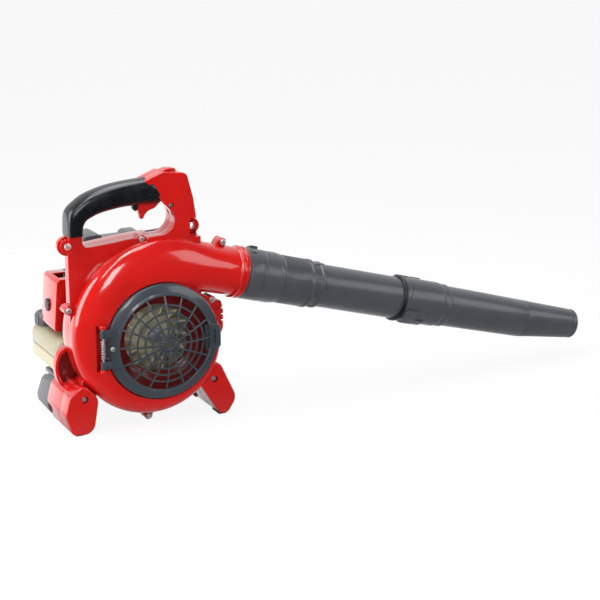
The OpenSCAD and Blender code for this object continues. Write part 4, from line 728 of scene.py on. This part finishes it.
grip = tidy(sheet(last + 4, around, grip_place), 0.02)
settle(grip, "grip_shell", "machine", rubbery("grip_rubber", linear(13, 16, 20), 0.24), "black_rubber", 50,
       stands_for=("handle_grip",))

# ---------------------------------------------------------------- trigger, its pin and spring, stop switch
# A red throttle trigger with a black stop pad swings on a steel pin inside the grip against a wound
# spring; the red rocker on the pillar stops the engine. A black cable runs to the carburettor.
pivot_x, pivot_z = -2, 193
trigger_line = (rounded([(-20, 184, 1), (-17, 196, 3), (-8, 200, 4), (6, 199, 3), (11, 192, 3), (12, 182, 1)])
                + smooth([(4, 176), (-4, 173.5), (-9, 169), (-12, 163.5)], 5) + [(-13.5, 162.9), (-15, 163)]
                + smooth([(-15.4, 164), (-17, 170), (-19, 177)], 4))
trigger = cut(slab(trigger_line, -5.5, 5.5, 0, 1.3, 1.3), cylinder(pivot_x, pivot_z, 2.05, -8, 8))
stop = slab(rounded([(-25.5, 186), (-25.5, 177), (-22, 173.5), (-18.6, 175.5), (-18.2, 186)], 1.8),
            -4, 4, 0, 1, 1)
settle(stop, "trigger_stop_pad", "trigger", rubber, "black_rubber")
settle(trigger, "throttle_trigger_lever", "trigger", gloss_red, "red_plastic",
       stands_for=("throttle_trigger",))
rocker = slab(rounded([(15.2, 216), (14, 226.5), (24, 229), (34, 228.4), (35.6, 224), (35.4, 216)], 1.6),
              -8, 8, 0, 1.4, 1.4)
switch = joined(rocker, *[slab(rounded([(x, 227.2), (x + 0.5, 229.0), (x + 1.5, 229.0), (x + 2, 227.2)], 0.4),
                               -6.4, 6.4, 0, 0.3, 0.3) for x in (20, 24, 28)])
settle(switch, "stop_switch_rocker", "switch", gloss_red, "red_plastic", stands_for=("stop_switch",))
grey_wire = plated("spring_steel", linear(176, 178, 182), 0.24, 0.0006, 0.35)


def wire(name, path, radius, body, material, slot, sides=12, stands_for=()):
    """A round wire or hose along a smooth path, made a mesh with closed ends."""
    curve = bpy.data.curves.new(name, "CURVE")
    curve.dimensions = "3D"
    line = curve.splines.new("NURBS")
    line.points.add(len(path) - 1)
    for point, at in zip(line.points, path):
        point.co = (*at, 1)
    line.use_endpoint_u = True
    line.order_u = 3
    curve.bevel_depth = radius
    curve.bevel_resolution = max(1, sides // 4 - 1)
    curve.resolution_u = 3
    curve.use_fill_caps = True
    piece = bpy.data.objects.new(name, curve)
    bpy.context.collection.objects.link(piece)
    alone(piece)
    bpy.ops.object.convert(target="MESH")
    return settle(tidy(bpy.context.object, 0.001), name, body, material, slot, 60, stands_for=stands_for)


def spring_turns(turns, step, place):
    """Points along a wound wire, step degrees apart, put in place by place(angle, share of the length)."""
    count = round(turns * 360 / step)
    return [place(math.radians(step * k), k / count) for k in range(count + 1)]


coil = spring_turns(6, 22.5, lambda a, share: (pivot_x + 3.4 * math.cos(a), 6.0 + 3.7944 * share,
                                               pivot_z + 3.4 * math.sin(a)))
wire("trigger_return_spring", [(-14, 6.0, 196)] + coil + [(8, 9.7, 199)], 0.4, "machine", grey_wire, "steel",
     8, ("trigger_spring",))


def polished(node, material):
    """A CAD node that is right as it is: only its finish changes."""
    cad = frame["nodes"][node]
    cad.data.materials.clear()
    cad.data.materials.append(material)


polished("trigger_pin", zinc)
soft_black = rubbery("cable_black", linear(24, 25, 28), 0.36)
cable_way = [(22, 0, 198), (31, 0, 192), (38, 2, 179), (41, 5, 166), (41.5, 13, 156), (41.5, 24, 149),
             (37, 33, 140), (20, 37, 136), (-10, 38, 133), (-40, 38, 122), (-57, 38, 106), (-62, 39, 91),
             (-62, 43, 81), (-62, 53, 78), (-62, 66, 78)]
wire("throttle_cable_sheath", smooth(cable_way, 4), 2.45, "machine", soft_black, "black_rubber", 16,
     ("throttle_cable",))

# ---------------------------------------------------------------- intake guard
# A slate-grey domed grille that swings open on the case front: a broad rounded flange, sixteen spokes
# crossed by five rings, two hinge knuckles on the left and a latch tab with two slots on the right.
slate = moulded("slate_grey", linear(58, 65, 72), 0.24, 0.45, 0.35, coat=0.45)


def dome(r):
    return -46.0 - 15.0 * (1 - (r / 66.0) ** 2)


hinge_x, hinge_y, half_bar, spokes = -86, -41, 1.25, 16
guard = [turned(rounded([(64.2, -46.6), (66.4, -47.0), (69.0, -44.2), (74.5, -42.6), (79.0, -40.6),
                         (80.0, -38.0), (80.0, seat_y), (77.0, seat_y), (77.0, -36.0), (68.0, -37.6),
                         (65.4, -41.5)], 1.2), 128)]
for r in (13.2, 23.1, 33.0, 42.9, 52.8):
    y = dome(r)
    guard.append(turned(rounded([(r - half_bar, y), (r + half_bar, y), (r + 1.0, y + 2.8), (r - 1.0, y + 2.8)],
                                0.5, 2), 96))
guard.append(turned(rounded([(4.2, dome(0) + 0.2), (6.0, dome(0) + 0.2), (7.8, dome(7)), (7.8, dome(7) + 3),
                             (4.2, dome(7) + 3)], 0.8), 48))
stations = [6 + 60 * i / 14 for i in range(15)]
for i in range(spokes):
    spoke = slab([(r, dome(r) + 0.1) for r in stations] + [(r, dome(r) + 3.2) for r in reversed(stations)],
                 -half_bar, half_bar, 0, 0.5, 0.5, along="Z", steps=2)
    spoke.data.transform(Matrix.Rotation(2 * math.pi * i / spokes, 4, "Y"))
    guard.append(spoke)
plate = slab(rounded([(-76, -26.5), (-70, -27), (-66, -24), (-66, 24), (-70, 27), (-76, 26.5)], 1.5),
             -43.2, -38.0, 0, 0.8, 0.5)
cut(plate, cylinder(-74, 0, 1.75, -50, -30))
guard.append(plate)
for z0 in (16, -27):
    barrel = turned(rounded(oblong(1.65, 4.2, z0, z0 + 11), 0.5), 32, "Z")
    arm = slab(rounded(oblong(hinge_x, -74, z0 + 0.4, z0 + 10.6), 1.2), -44.6, -38.4, 0, 0.9, 0.9)
    guard += [moved(barrel, hinge_x, hinge_y, 0), arm]
latch = slab(rounded([(59, -21), (77, -19.5), (82, -15), (82, 12), (77, 16.5), (59, 18)], 2.5),
             -44.4, -37.6, 0, 1.6, 0.6)
for x in (66.4, 71.6):
    cut(latch, slab(rounded(oblong(x, x + 2.4, -12, 9.5), 0.8), -50, -41.2))
hook = slab(rounded(oblong(77.4, 79.8, -5, 5), 0.4), -38, -31.2, 0, 0, 0.5)
settle(joined(*guard, latch, hook), "guard_grille", "guard", slate, "grey_plastic", 35,
       stands_for=("intake_guard",))

# ---------------------------------------------------------------- guard hinge
# A steel pin through two red ears on the case and the guard's knuckles, a wound spring round it, and the
# screw that holds its end down. The hinge lies in a pocket of the case front.
ears = [slab(rounded(oblong(-90.5, -81.5, -45, -33), 3.5), z0, z0 + 4.4, 0, 0.6, 0.6, along="Z")
        for z0 in (28.1, -32.6)]


def pocket_block(x0, x1, top, corner, y0, y1, rim):
    """A plate with round corners, as high above the fan axis as below it."""
    return slab(rounded(oblong(x0, x1, -top, top), corner), y0, y1, 0, rim, 0)


tub = cut(pocket_block(pocket_left - 1.6, -78, pocket_top + 1.5, 3, -33.0, -21, 0.3),
          pocket_block(pocket_left, -70, pocket_top, 2, -50, -22.6, 0))
settle(joined(tub, *ears), "hinge_pocket", "machine", gloss_red, "red_plastic")
pocket_floor = pocket_block(pocket_left + 0.2, -77.0, pocket_top - 0.2, 2, -23.6, -22.4, 0.3)
settle(pocket_floor, "hinge_pocket_floor", "machine", gloss_red, "red_plastic")
pin = turned(rounded(oblong(0, 1.6, -31, 31), 0.4), 24, "Z")
settle(moved(pin, hinge_x, hinge_y, 0), "hinge_pin_rod", "machine", zinc, "steel",
       stands_for=("guard_hinge_pin",))
quarter = math.radians(45)
coil = spring_turns(8, 22.5, lambda a, share: (hinge_x + 3.2 * math.cos(a + quarter),
                                               hinge_y + 3.2 * math.sin(a + quarter), -13 + 26 * share))
coil = [(-78.5, -40.6, -13.6), (-82, -37.9, -13.4)] + coil + [(-82, -37.9, 13.4), (-78.5, -40.6, 13.6)]
wire("hinge_return_spring", coil, 0.6, "machine", grey_wire, "steel", 8, ("guard_hinge_spring",))
settle(screw(-74, 0, -43.3, 3.2, 7.5), "hinge_screw", "guard", zinc, "steel",
       stands_for=("guard_hinge_screw",))

# ---------------------------------------------------------------- fan wheel and nut
# A one-piece cream fan with fourteen curved blades on a back plate, held on the crankshaft by a steel nut
# on a washer; it is seen through the guard.
aged_cream = moulded("aged_cream", linear(206, 200, 172), 0.34, 0.4, 0.6, coat=0.2)
blades = [turned(rounded([(5.02, -8), (10, -8), (14, -5), (15, 14), (31, 15.5), (33, 17.4), (71, 17.6),
                          (72, 18.2), (72, 20), (5.02, 20)], 1.0), 96)]
blade_count = 14
for i in range(blade_count):
    line, back = [], []
    for k in range(13):
        u = k / 12
        r, a = mix(30, 71, u), math.radians(-32 * u * u)
        thick = mix(2.6, 1.6, u) / r
        line.append((r * math.cos(a), r * math.sin(a)))
        back.append((r * math.cos(a + thick), r * math.sin(a + thick)))
    blade = slab(line + back[::-1], -12, 19, 0, 0.6, 0, steps=2)
    blade.data.transform(Matrix.Rotation(math.radians(360 * i / blade_count), 4, "Y"))
    blades.append(blade)
settle(joined(*blades), "fan_wheel_blades", "crank", aged_cream, "cream_plastic", stands_for=("fan_wheel",))
nut = slab([(8.5 * math.cos(math.radians(60 * i)), 8.5 * math.sin(math.radians(60 * i))) for i in range(6)],
           -14, -9.4, 0.3, 1.0, 0)
cut(nut, cylinder(0, 0, 5.02, -20, 0))
washer = turned(rounded(oblong(5.02, 12.5, -9.4, -8.1), 0.3), 48)
settle(joined(nut, washer), "fan_nut_and_washer", "crank", zinc, "steel", stands_for=("fan_nut",))

# ---------------------------------------------------------------- crank, piston and crankcase
# The forged steel crank train and the cast alloy crankcase behind the fan. They are hidden once the
# machine is built, so they keep their machined shape and get their own metal; the crankcase halves also get
# softened edges.


def softened(node, name, material, slot, width=0.5, angle=35):
    """A copy of a CAD node with its seams closed and its edges rounded a little."""
    cad = frame["nodes"][node]
    made = cad.copy()
    made.data = cad.data.copy()
    for key in list(made.keys()):
        del made[key]
    made.parent = None
    bpy.context.collection.objects.link(made)
    made.matrix_world = Matrix.Identity(4)
    made.data.transform(to_frame.inverted())
    editing(made)
    bpy.ops.mesh.remove_doubles(threshold=0.002)
    bpy.ops.mesh.dissolve_limited(angle_limit=math.radians(0.6), use_dissolve_boundaries=False)
    bpy.ops.object.mode_set(mode="OBJECT")
    modified(made, "BEVEL", width=width, segments=2, limit_method="ANGLE", angle_limit=math.radians(angle),
             use_clamp_overlap=True, harden_normals=False)
    return settle(made, name, cad["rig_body"], material, slot, 35, stands_for=(node,))


forged = plated("forged_steel", linear(168, 170, 174), 0.26, 0.0014, 0.4)
for node in ("crankshaft", "connecting_rod", "wrist_pin", "crank_pin", "crank_bearings", "starter_ratchet",
             "engine_screws", "recoil_spring", "throttle_arm"):
    polished(node, forged)


def cast(name, colour, rough):
    """Sand-cast alloy: pebbled skin, dull patches, brighter where it was machined or rubbed."""
    made, shader, at = finish(name, Metallic=0.9)
    stain = at.noise(0.025, 4.0).step(0.4, 0.75)
    bright = at.noise(0.008, 2.0).step(0.58, 0.7)
    feed(shader, Base_Color=stain.blend(colour, shaded(colour, 0.72)),
         Roughness=rough + 0.12 * stain - 0.12 * bright)
    bumped(shader, 0.7, 0.00015, at.noise(0.0012, 2.0) + 0.5 * at.noise(0.004, 1.0))
    return made


alloy = cast("cast_alloy", linear(168, 170, 172), 0.42)
polished("piston", forged)
softened("crankcase_front", "crankcase_front_half", alloy, "alloy", 0.8)
softened("crankcase_rear", "crankcase_rear_half", alloy, "alloy", 0.8)

# ---------------------------------------------------------------- cylinder, plug and ignition
# A finned alloy cylinder with a steel plug on top, the black rubber cap and lead that feed it, and the
# ignition coil beside the flywheel.
softened("cylinder_block", "finned_cylinder", alloy, "alloy", 0.4)
softened("spark_plug", "plug_body", zinc, "steel", 0.3)
softened("plug_cap", "plug_boot", rubber, "black_rubber", 1.0)
softened("ignition_coil", "coil_block", moulded("coil_black", linear(26, 27, 30), 0.4, 0.4, 0.7),
         "black_plastic", 1.2)
lead_way = [(20.6, 113, 42.9), (16.7, 113, 46), (14.5, 112, 51), (14, 110.5, 60), (12, 109, 74),
            (9, 108, 94), (5, 105, 107), (1, 100, 115), (0, 91.2, 116)]
wire("ignition_lead_hose", smooth(lead_way, 4), 2.4, "machine", soft_black, "black_rubber", 16,
     ("ignition_lead",))

# ---------------------------------------------------------------- flywheel and recoil starter
# The finned flywheel turns inside a grey vented housing at the back. A cream rope winds on the black reel
# behind it and leaves through the housing's mouth to a T-shaped pull handle.
softened("flywheel", "finned_flywheel", alloy, "alloy", 0.5)
dark_grey = moulded("dark_grey", linear(82, 85, 91), 0.32, 0.5, 0.45, coat=0.1)
softened("starter_housing", "starter_cover_shell", dark_grey, "grey_plastic", 1.2, 30)
black = moulded("satin_black", linear(27, 28, 31), 0.38, 0.4, 0.6)
softened("starter_pulley", "starter_reel", black, "black_plastic", 0.5)


def braided(name, colour, axis):
    """Braided cord: crossing strands on a slant with painted shade between them, and a slight fuzz."""
    made, shader, at = finish(name, Roughness=0.85, Sheen_Weight=0.3)
    ways = [at.node("ShaderNodeMapping", {}, Vector=at, Rotation=(0, lean, lean)) for lean in (0.6, -0.6)]
    strands = at.math("MAXIMUM", *[at.node("ShaderNodeTexWave", {"bands_direction": axis}, out=1, Vector=way,
                                           Scale=340.0) for way in ways])
    soil = at.noise(0.01, 3.0).step(0.4, 0.7)
    # Painted shade: the gaps between the strands are darkened to 0.45 of the cord's colour.
    base = strands.blend(shaded(colour, 0.45), colour)
    feed(shader, Base_Color=(0.35 * soil).blend(base, linear(120, 108, 88)))
    bumped(shader, 0.9, 0.0003, strands + 0.3 * at.noise(0.0004, 2.0))
    return made


cord_cream = braided("starter_cord", linear(214, 206, 180), "Z")
reel_y = 141.5
loops = [turned(rounded(oblong(20.2, 23.1, y, y + 1.6), 0.7, 3), 72)
         for y in (-3.3 + 1.7 * k for k in range(4))]
settle(moved(joined(*loops), 0, reel_y, 0), "rope_on_reel", "starter_reel", cord_cream, "rope",
       stands_for=("wound_rope",))
wire("pull_rope", [(25, reel_y, 4 + k * 4.8) for k in range(11)], 1.55, "starter_grip",
     cord_cream, "rope", 16, ("starter_rope",))
softened("starter_handle", "pull_handle", rubber, "black_rubber", 1.4, 25)
softened("starter_screws", "starter_housing_screws", zinc, "steel", 0.4)

# ---------------------------------------------------------------- engine cover
# A dark-grey hood over the cylinder with two raised ribs on top and cooling slots at the back.
hood = slab([(-84, 88.3), (-84, 110), (-81, 116), (-75, 119), (-66, 120.4), (0, 122), (40, 120.5),
             (50, 117.6), (58, 114), (63, 109.5), (66, 88.3)], 45, 114.5, 0, 2.4, 3)
slots = [slab(oblong(x, x + 8, 94, 112), 109.5, 119.5) for x in range(-60, 41, 14)]
hollow = slab([(-81.5, 80), (-81.5, 111), (-71, 116.6), (0, 119), (42, 117), (61, 108), (63.3, 80)],
              47.6, 112, 2)
cut(hood, *slots, hollow)
ridges = [slab(rounded(line, 1), 55, 102.5, 0, 2.5, 2.5) for line in (
    [(-79, 112), (-76, 131, 3), (-70, 133, 3), (-56, 134, 3), (-50, 132, 3), (-46, 116)],
    [(-13, 116), (-10, 127, 3), (-5, 129.6, 3), (9, 129.6, 3), (13, 127.6, 3), (17, 116)])]
settle(joined(hood, *ridges), "engine_hood", "machine", dark_grey, "grey_plastic",
       stands_for=("engine_cover",))

# ---------------------------------------------------------------- muffler and its cover
# A pressed steel muffler on the right of the cylinder, blued by heat, behind a slotted black shield.


def heated(name):
    """Pressed steel with heat tints and soot."""
    made, shader, at = finish(name, Metallic=0.85)
    heat = at.noise(0.05, 2.0)
    stops = [(0.3, linear(118, 112, 106)), (0.45, linear(146, 122, 92)), (0.55, linear(110, 104, 122)),
             (0.7, linear(92, 88, 86))]
    tint = heat.node("ShaderNodeValToRGB", {"stops": stops}, Fac=heat)
    soot = at.noise(0.012, 4.0).step(0.5, 0.8)
    feed(shader, Base_Color=(0.6 * soot).blend(tint, linear(38, 36, 34)), Roughness=0.34 + 0.3 * soot)
    bumped(shader, 0.5, 0.00008, at.noise(0.0012, 3.0))
    return made


softened("muffler", "muffler_box", heated("blued_steel"), "muffler_steel", 1.5, 25)


def painted(name, colour):
    """Black stove paint on sheet: orange peel, and chips that show grey at the edges."""
    made, shader, at = finish(name)
    chip = at.noise(0.004, 3.0).step(0.7, 0.74)
    feed(shader, Base_Color=chip.blend(colour, linear(92, 92, 92)), Roughness=0.42 + 0.2 * chip,
         Metallic=0.7 * chip)
    bumped(shader, 0.5, 0.00006, at.noise(0.0014, 2.0) - 0.8 * chip)
    return made


softened("muffler_cover", "muffler_shield", painted("stove_black", linear(30, 30, 32)), "black_sheet", 1.0, 25)

# ---------------------------------------------------------------- carburettor and air cleaner
# A small die-cast carburettor with a rubber primer bulb feeds the cylinder through a plastic spacer. A
# felt filter sits on a black plate behind the red cover, which one knob holds on; a choke lever stands in
# the notch of the cover.
softened("intake_insulator", "intake_spacer", black, "black_plastic", 0.6)
softened("carburettor", "carburettor_body", cast("die_cast", linear(176, 176, 176), 0.36), "alloy", 0.5)
bulb = turned(rounded([(0, 0), (9, 0), (9, 2.6), (8.6, 5.2), (6.6, 7.6), (3.6, 8.75), (0, 9.0)], 0.8), 48)
bulb.data.transform(Matrix.Scale(-1, 4, (0, 1, 0)))
settle(tidy(moved(bulb, -62, 63.5, 55), 0.001), "primer_bulb_dome", "primer", rubber, "black_rubber", 60,
       stands_for=("primer_bulb",))
softened("air_cleaner_base", "air_cleaner_plate", black, "black_plastic", 0.6)


def felted(name, colour):
    """Pressed felt: tangled fibres and a dusty face."""
    made, shader, at = finish(name, Roughness=0.95, Sheen_Weight=0.4)
    fibre = at.noise(0.0007, 3.0, (1.0, 0.25, 1.0)) + at.noise(0.0007, 3.0, (1.0, 1.0, 0.25))
    dust = at.noise(0.015, 4.0)
    feed(shader, Base_Color=(0.5 * fibre * dust).blend(colour, linear(120, 112, 98)))
    bumped(shader, 0.9, 0.0003, fibre)
    return made


softened("air_filter", "filter_pad", felted("filter_felt", linear(52, 52, 54)), "filter_felt", 1.5)
cover_line = [(-84.3, 0.2, 1), (-84.3, 74, 1.5), (-112, 74, 7), (-118, 0.2, 5)]
cover = slab(rounded(cover_line), 67, 127, 0, 3.2, 3.2)
cut(cover, slab([(-80, 2.5), (-80, 71.5), (-105, 71.5), (-109.5, 66), (-115.5, 7), (-111, 2.5)], 69.5, 124.5),
    slab(rounded(oblong(-106, -76, 60.5, 80), 2), 78, 108, 0))
shelf = slab(rounded(oblong(-107.5, -84.4, 59.2, 61.0), 0.4), 76.5, 109.5, 0, 0.4, 0.4)
cut(shelf, slab(oblong(-94.5, -87.5, 55, 65), 79.5, 98))


def face_x(z):
    """Where the sloping face of the cover stands at this height."""
    return -117.6 + 6 * z / 74


trim = [slab(rounded([(face_x(z) - 0.5, z), (face_x(z) + 1.2, z), (face_x(z + 1.6) + 1.2, z + 1.6),
                      (face_x(z + 1.6) - 0.5, z + 1.6)], 0.3), 74, 120, 0, 0.4, 0.4) for z in (8, 62)]
to_knob = Matrix.Translation((-111, 100, 32)) @ Matrix.Rotation(math.radians(90), 4, "Z")
seat = turned(rounded(oblong(3.4, 12.5, -3, 0), 0.6), 64)
seat.data.transform(to_knob)
hole = cylinder(0, 0, 3.4, -20, 20)
hole.data.transform(to_knob)
cut(cover, hole)
settle(joined(cover, shelf, seat, *trim), "air_cleaner_lid", "air_cover", gloss_red, "red_plastic",
       stands_for=("air_cleaner_cover",))
softened("cover_bolt", "cover_knob", black, "black_plastic", 0.6, 25)
softened("choke_lever", "choke_lever_arm", black, "black_plastic", 0.7, 25)

# ---------------------------------------------------------------- fuel tank, cap and line
# A blow-moulded beige tank, slightly see-through, with a parting line round its middle; a grey screw cap
# with finger grooves; and a black fuel line up to the carburettor.


def milky(name, colour):
    """Natural polyethylene: waxy, lightly see-through, cloudy, with a warm stain low down."""
    made, shader, at = finish(name, Subsurface_Weight=0.25, Subsurface_Scale=0.006, IOR=1.5,
                              Coat_Weight=0.1)
    cloud = at.noise(0.03, 3.0)
    height = at.node("ShaderNodeSeparateXYZ", {}, out=2, Vector=at)
    low = 1 - height.step(0.075, 0.098)
    stained = (0.5 * low).blend(cloud.blend(shaded(colour, 0.93), colour), linear(214, 200, 160))
    feed(shader, Base_Color=stained, Roughness=0.3 + 0.12 * (cloud - 0.5))
    bumped(shader, 0.5, 0.00008, at.noise(0.006, 2.0) + 0.2 * at.noise(0.0008, 2.0))
    return made


cream = milky("tank_cream", linear(168, 162, 136))
tank_line = rounded([(-122, -60, 12), (-62, -60, 12), (-62, -8, 12), (-122, -8, 14)], 12, 6)
tank = slab(tank_line, 50, 168, 0, 8, 8, steps=6)
filler = (-101, 148, -8)
neck = turned(rounded(oblong(9, 12, -3, 7), 0.5), 48, "Z")
band = slab(rounded(oblong(-122.0, -121.0, -34.8, -33.2), 0.3), 60, 158, 0, 0.3, 0.3)
settle(joined(tank, moved(neck, *filler), band), "fuel_tank_shell", "machine", cream, "cream_plastic",
       stands_for=("fuel_tank",))
cap = turned(rounded([(0, 8), (12.4, 8), (12.4, 0.5), (19.8, 0.5, 0.6), (20, 13.6, 1.5), (17.2, 17.4, 1.2),
                      (13.2, 17.4, 1.0), (11.6, 15.6, 0.6), (0, 15.6)], 0.4), 96, "Z")
grooves = 12
for k in range(grooves):
    groove = turned(oblong(0, 2.2, 1.5, 20), 16, "Z")
    groove.data.transform(Matrix.Rotation(math.radians(360 * k / grooves), 4, "Z")
                          @ Matrix.Translation((21, 0, 0)))
    cut(cap, groove)
grip_bar = slab(rounded(oblong(-11, 11, -2, 2), 1.8), 14, 17.2, 0, 0, 0.8, along="Z")
settle(moved(joined(cap, grip_bar), *filler), "fuel_cap_lid", "fuel_lid", dark_grey, "grey_plastic",
       stands_for=("fuel_cap",))
hose_way = [(-72, 90, -11), (-72, 90, -2), (-72, 89, 8), (-72, 85, 18), (-71, 81.5, 25), (-71, 81, 28.9)]
wire("fuel_hose", smooth(hose_way, 4), 2.35, "machine", soft_black, "black_rubber", 16, ("fuel_lines",))

# ---------------------------------------------------------------- rear stand
# A dark-grey moulding screwed behind the red feet: two hollow legs that narrow towards the back, a shelf
# under the tank and a post up to the crankcase.
legs = []
for line in ([(-136, -92, 6), (-127, -66, 4), (-121, -60.4, 2), (-101.5, -60.4, 3), (-93, -72, 6),
              (-103, -106, 10), (-113, -119.2, 3), (-124, -119.2, 3), (-135, -104, 7)],
             [(91, -60.4, 3), (98, -70, 10), (108, -96, 6), (105, -105, 5), (94, -119.2, 3),
              (84, -119.2, 3), (72, -104, 8), (62, -78, 3), (64, -60.4, 3)]):
    leg = slab(rounded(line, 3), 55.1, 117, 0, 0.8, 6, steps=5)
    middle, sole = sum(p[0] for p in line) / len(line), -119.2
    for point in leg.data.vertices:
        share = 1 - 0.2 * eased(max(0.0, min(1.0, (point.co.y - 58) / 59)))
        point.co.x = middle + (point.co.x - middle) * share
        point.co.z = sole + (point.co.z - sole) * share
    legs.append(leg)
shelf = slab(rounded(oblong(-120, 86, -66.2, -60.3), 1.5), 60, 112, 0, 1.5, 1.5)
post = slab(rounded(oblong(-18, 18, -62, -40.3), 1.5), 60, 90, 0, 1.0, 1.0)
settle(joined(*legs, shelf, post), "stand_moulding", "machine", dark_grey, "grey_plastic",
       stands_for=("rear_stand",))

# ---------------------------------------------------------------- outlet collar
# The first tube, dark grey, slides over the case spigot and locks with a twist: a raised lug on top, a
# bayonet housing below, and a ring where the main tube meets it.
tube_grey = moulded("tube_grey", linear(72, 76, 81), 0.3, 0.4, 0.25, coat=0.2)


def arc_block(a0, a1, r0, r1, s0, s1, edge=0.8, steps=10):
    """A piece of a ring about the tube between two angles and two stations, its outer edges rounded."""
    profile = rounded([(r0, s0), (r1, s0, edge), (r1, s1, edge), (r0, s1)], 0.05, 3)
    first = math.radians(a0)
    piece = outlined([(r * math.cos(first), r * math.sin(first), along) for r, along in profile])
    editing(piece)
    bpy.ops.mesh.spin(steps=steps, angle=math.radians(a1 - a0), center=(0, 0, 0), axis=(0, 0, 1))
    bpy.ops.mesh.select_all(action="SELECT")
    bpy.ops.mesh.remove_doubles(threshold=0.001)
    bpy.ops.mesh.normals_make_consistent(inside=False)
    bpy.ops.object.mode_set(mode="OBJECT")
    return piece


collar = turned(rounded([(32.2, 0.3), (36.0, 0.3, 0.6), (36.0, 27.5, 0.2), (36.3, 28.2, 0.2), (36.0, 28.9, 0.2),
                         (36.0, 49), (35.2, 53.2), (35.2, 54.6, 0.3), (35.0, 57.0, 0.5), (31.0, 57.0),
                         (31.0, 99.0), (29.0, 99.0), (29.0, 26), (32.2, 22.5)], 0.4, 3), 128, "Z")
blocks = [arc_block(-56, 11, 34, 38.9, 2.2, 21.8, 1.2, 24), arc_block(170, 190, 34.5, 40.0, 12, 24, 1.5),
          arc_block(205, 214, 35, 37.2, 6, 14, 0.7), arc_block(146, 155, 35, 37.2, 6, 14, 0.7)]
slots = [arc_block(-30, -14, 31, 37.8, -2, 16, 0.05), arc_block(-27.5, 7.5, 30, 35.6, 8.6, 15.4, 0.05)]
cut(blocks[0], *slots)
settle(joined(collar, *blocks), "outlet_collar_tube", "collar", tube_grey, "grey_plastic", where=to_tube,
       stands_for=("outlet_collar",))

# ---------------------------------------------------------------- main tube
# The long dark-grey tube: a sleeve of fine lengthwise ribs to grip, a ring, four flat windows between two
# rings, then a plain pipe that ends in two bayonet pegs under the black seal.
main_line = [(31.3, 57.6), (33.4, 57.6, 0.6), (33.9, 58.4, 0.4), (33.9, 60.0, 0.4), (33.4, 60.6, 0.3),
             (33.4, 101.6, 0.3), (33.9, 102.4, 0.3), (33.9, 103.2), (34.8, 103.8, 0.4), (34.8, 107.4, 0.5),
             (33.2, 108.2, 0.3), (32.2, 108.8, 0.3), (32.2, 117.8, 0.3), (33.5, 119.4, 0.4), (33.5, 122.4, 0.5),
             (31.2, 124.0, 1.0), (30.9, 126), (30.9, 300.2, 0.4), (29, 300.2), (29, 103.5), (31.3, 100)]
main = turned(rounded(main_line, 0.3, 3), 128, "Z")
pieces = [arc_block(a + turn, a + turn + 3, 31.5, 33.3, 108.3, 118.8, 0.3, 2)
          for a in (45, 135, 225, 315) for turn in (-24, 21)]
pieces += [arc_block(a - 2.5, a + 2.5, 30.4, 31.9, 127.5, 131.5, 0.5, 4) for a in (90, 180, 270)]
for a in range(0, 360, 6):
    if a % 90:
        pieces.append(arc_block(a - 1.8, a + 1.8, 33.0, 33.72, 61.5, 100.8, 0.25, 2))
    else:
        pieces.append(arc_block(a - 3.2, a + 3.2, 33.0, 34.05, 59.0, 103.4, 0.35, 3))
pieces += [arc_block(a - 6, a + 6, 30.5, 34.4, 271, 277, 0.5, 4) for a in (0, 180)]
settle(joined(main, *pieces), "main_tube_pipe", "tube", tube_grey, "grey_plastic", where=to_tube,
       stands_for=("main_tube",))
seal = turned(rounded([(31.0, 257), (33.2, 257, 0.5), (34.0, 258.4, 0.6), (33.5, 259.4, 0.4),
                       (34.0, 260.4, 0.5), (34.0, 262, 0.4), (31.0, 262)], 0.3, 3), 128, "Z")
settle(seal, "tube_seal_ring", "tube", rubber, "black_rubber", where=to_tube, stands_for=("coupling_seal",))

# ---------------------------------------------------------------- nozzle
# The last tube: a socket with two bayonet housings that locks on the pipe, a long cone, and a tapered end
# that turns up a little and finishes in a plain rolled lip.
nozzle = turned(rounded([(31.3, 262.3), (33.0, 262.3, 0.6), (33.0, 268), (32.6, 270), (33.0, 272, 0.4),
                         (33.0, 328.3, 0.6), (31.6, 331.5, 0.5), (31.5, 338.0, 0.3), (31.9, 338.6, 0.3),
                         (31.9, 341.6, 0.4), (31.2, 342.6, 0.4), (30.3, 344.5), (29.4, 416), (28.5, 488.3),
                         (26.5, 488.3), (27.4, 416), (28.2, 344.3), (28.2, 314), (31.3, 300.8)],
                        0.4, 3), 128, "Z")
end = turned(rounded([(28.5, 488.3), (27.6, 500, 6), (25.5, 534, 8), (22.9, 578, 6), (22.2, 580.6, 1.5),
                      (22.5, 583.6, 0.8), (22.5, 588.2, 0.5), (20.5, 588.2, 0.4), (20.4, 580.3),
                      (26.5, 488.3)], 1.0, 3), 128, "Z")
bend, bend_at = math.radians(-2.6), 488.3
for point in end.data.vertices:
    x, along = point.co.x, point.co.z - bend_at
    a = bend * eased(max(0.0, min(1.0, along / 14)))
    point.co.x = x * math.cos(a) + along * math.sin(a)
    point.co.z = bend_at + along * math.cos(a) - x * math.sin(a)
housings = []
for at in (0, 180):
    house = arc_block(at - 31, at + 11, 31.8, 37.9, 264.4, 284.2, 1.4, 16)
    tail = arc_block(at - 20, at + 4, 31.8, 35.6, 283.0, 303.5, 1.6, 12)
    cut(house, arc_block(at - 30, at - 14, 30, 36.9, 260, 278.4, 0.05),
        arc_block(at - 27.5, at + 7.5, 30, 34.9, 270.9, 277.9, 0.05))
    housings += [house, tail]
settle(tidy(joined(nozzle, end), 0.002), "nozzle_tube_shell", "nozzle_tube", tube_grey, "grey_plastic", 30,
       where=to_tube, stands_for=("nozzle",))
settle(joined(*housings), "nozzle_bayonets", "nozzle_tube", tube_grey, "grey_plastic", where=to_tube)
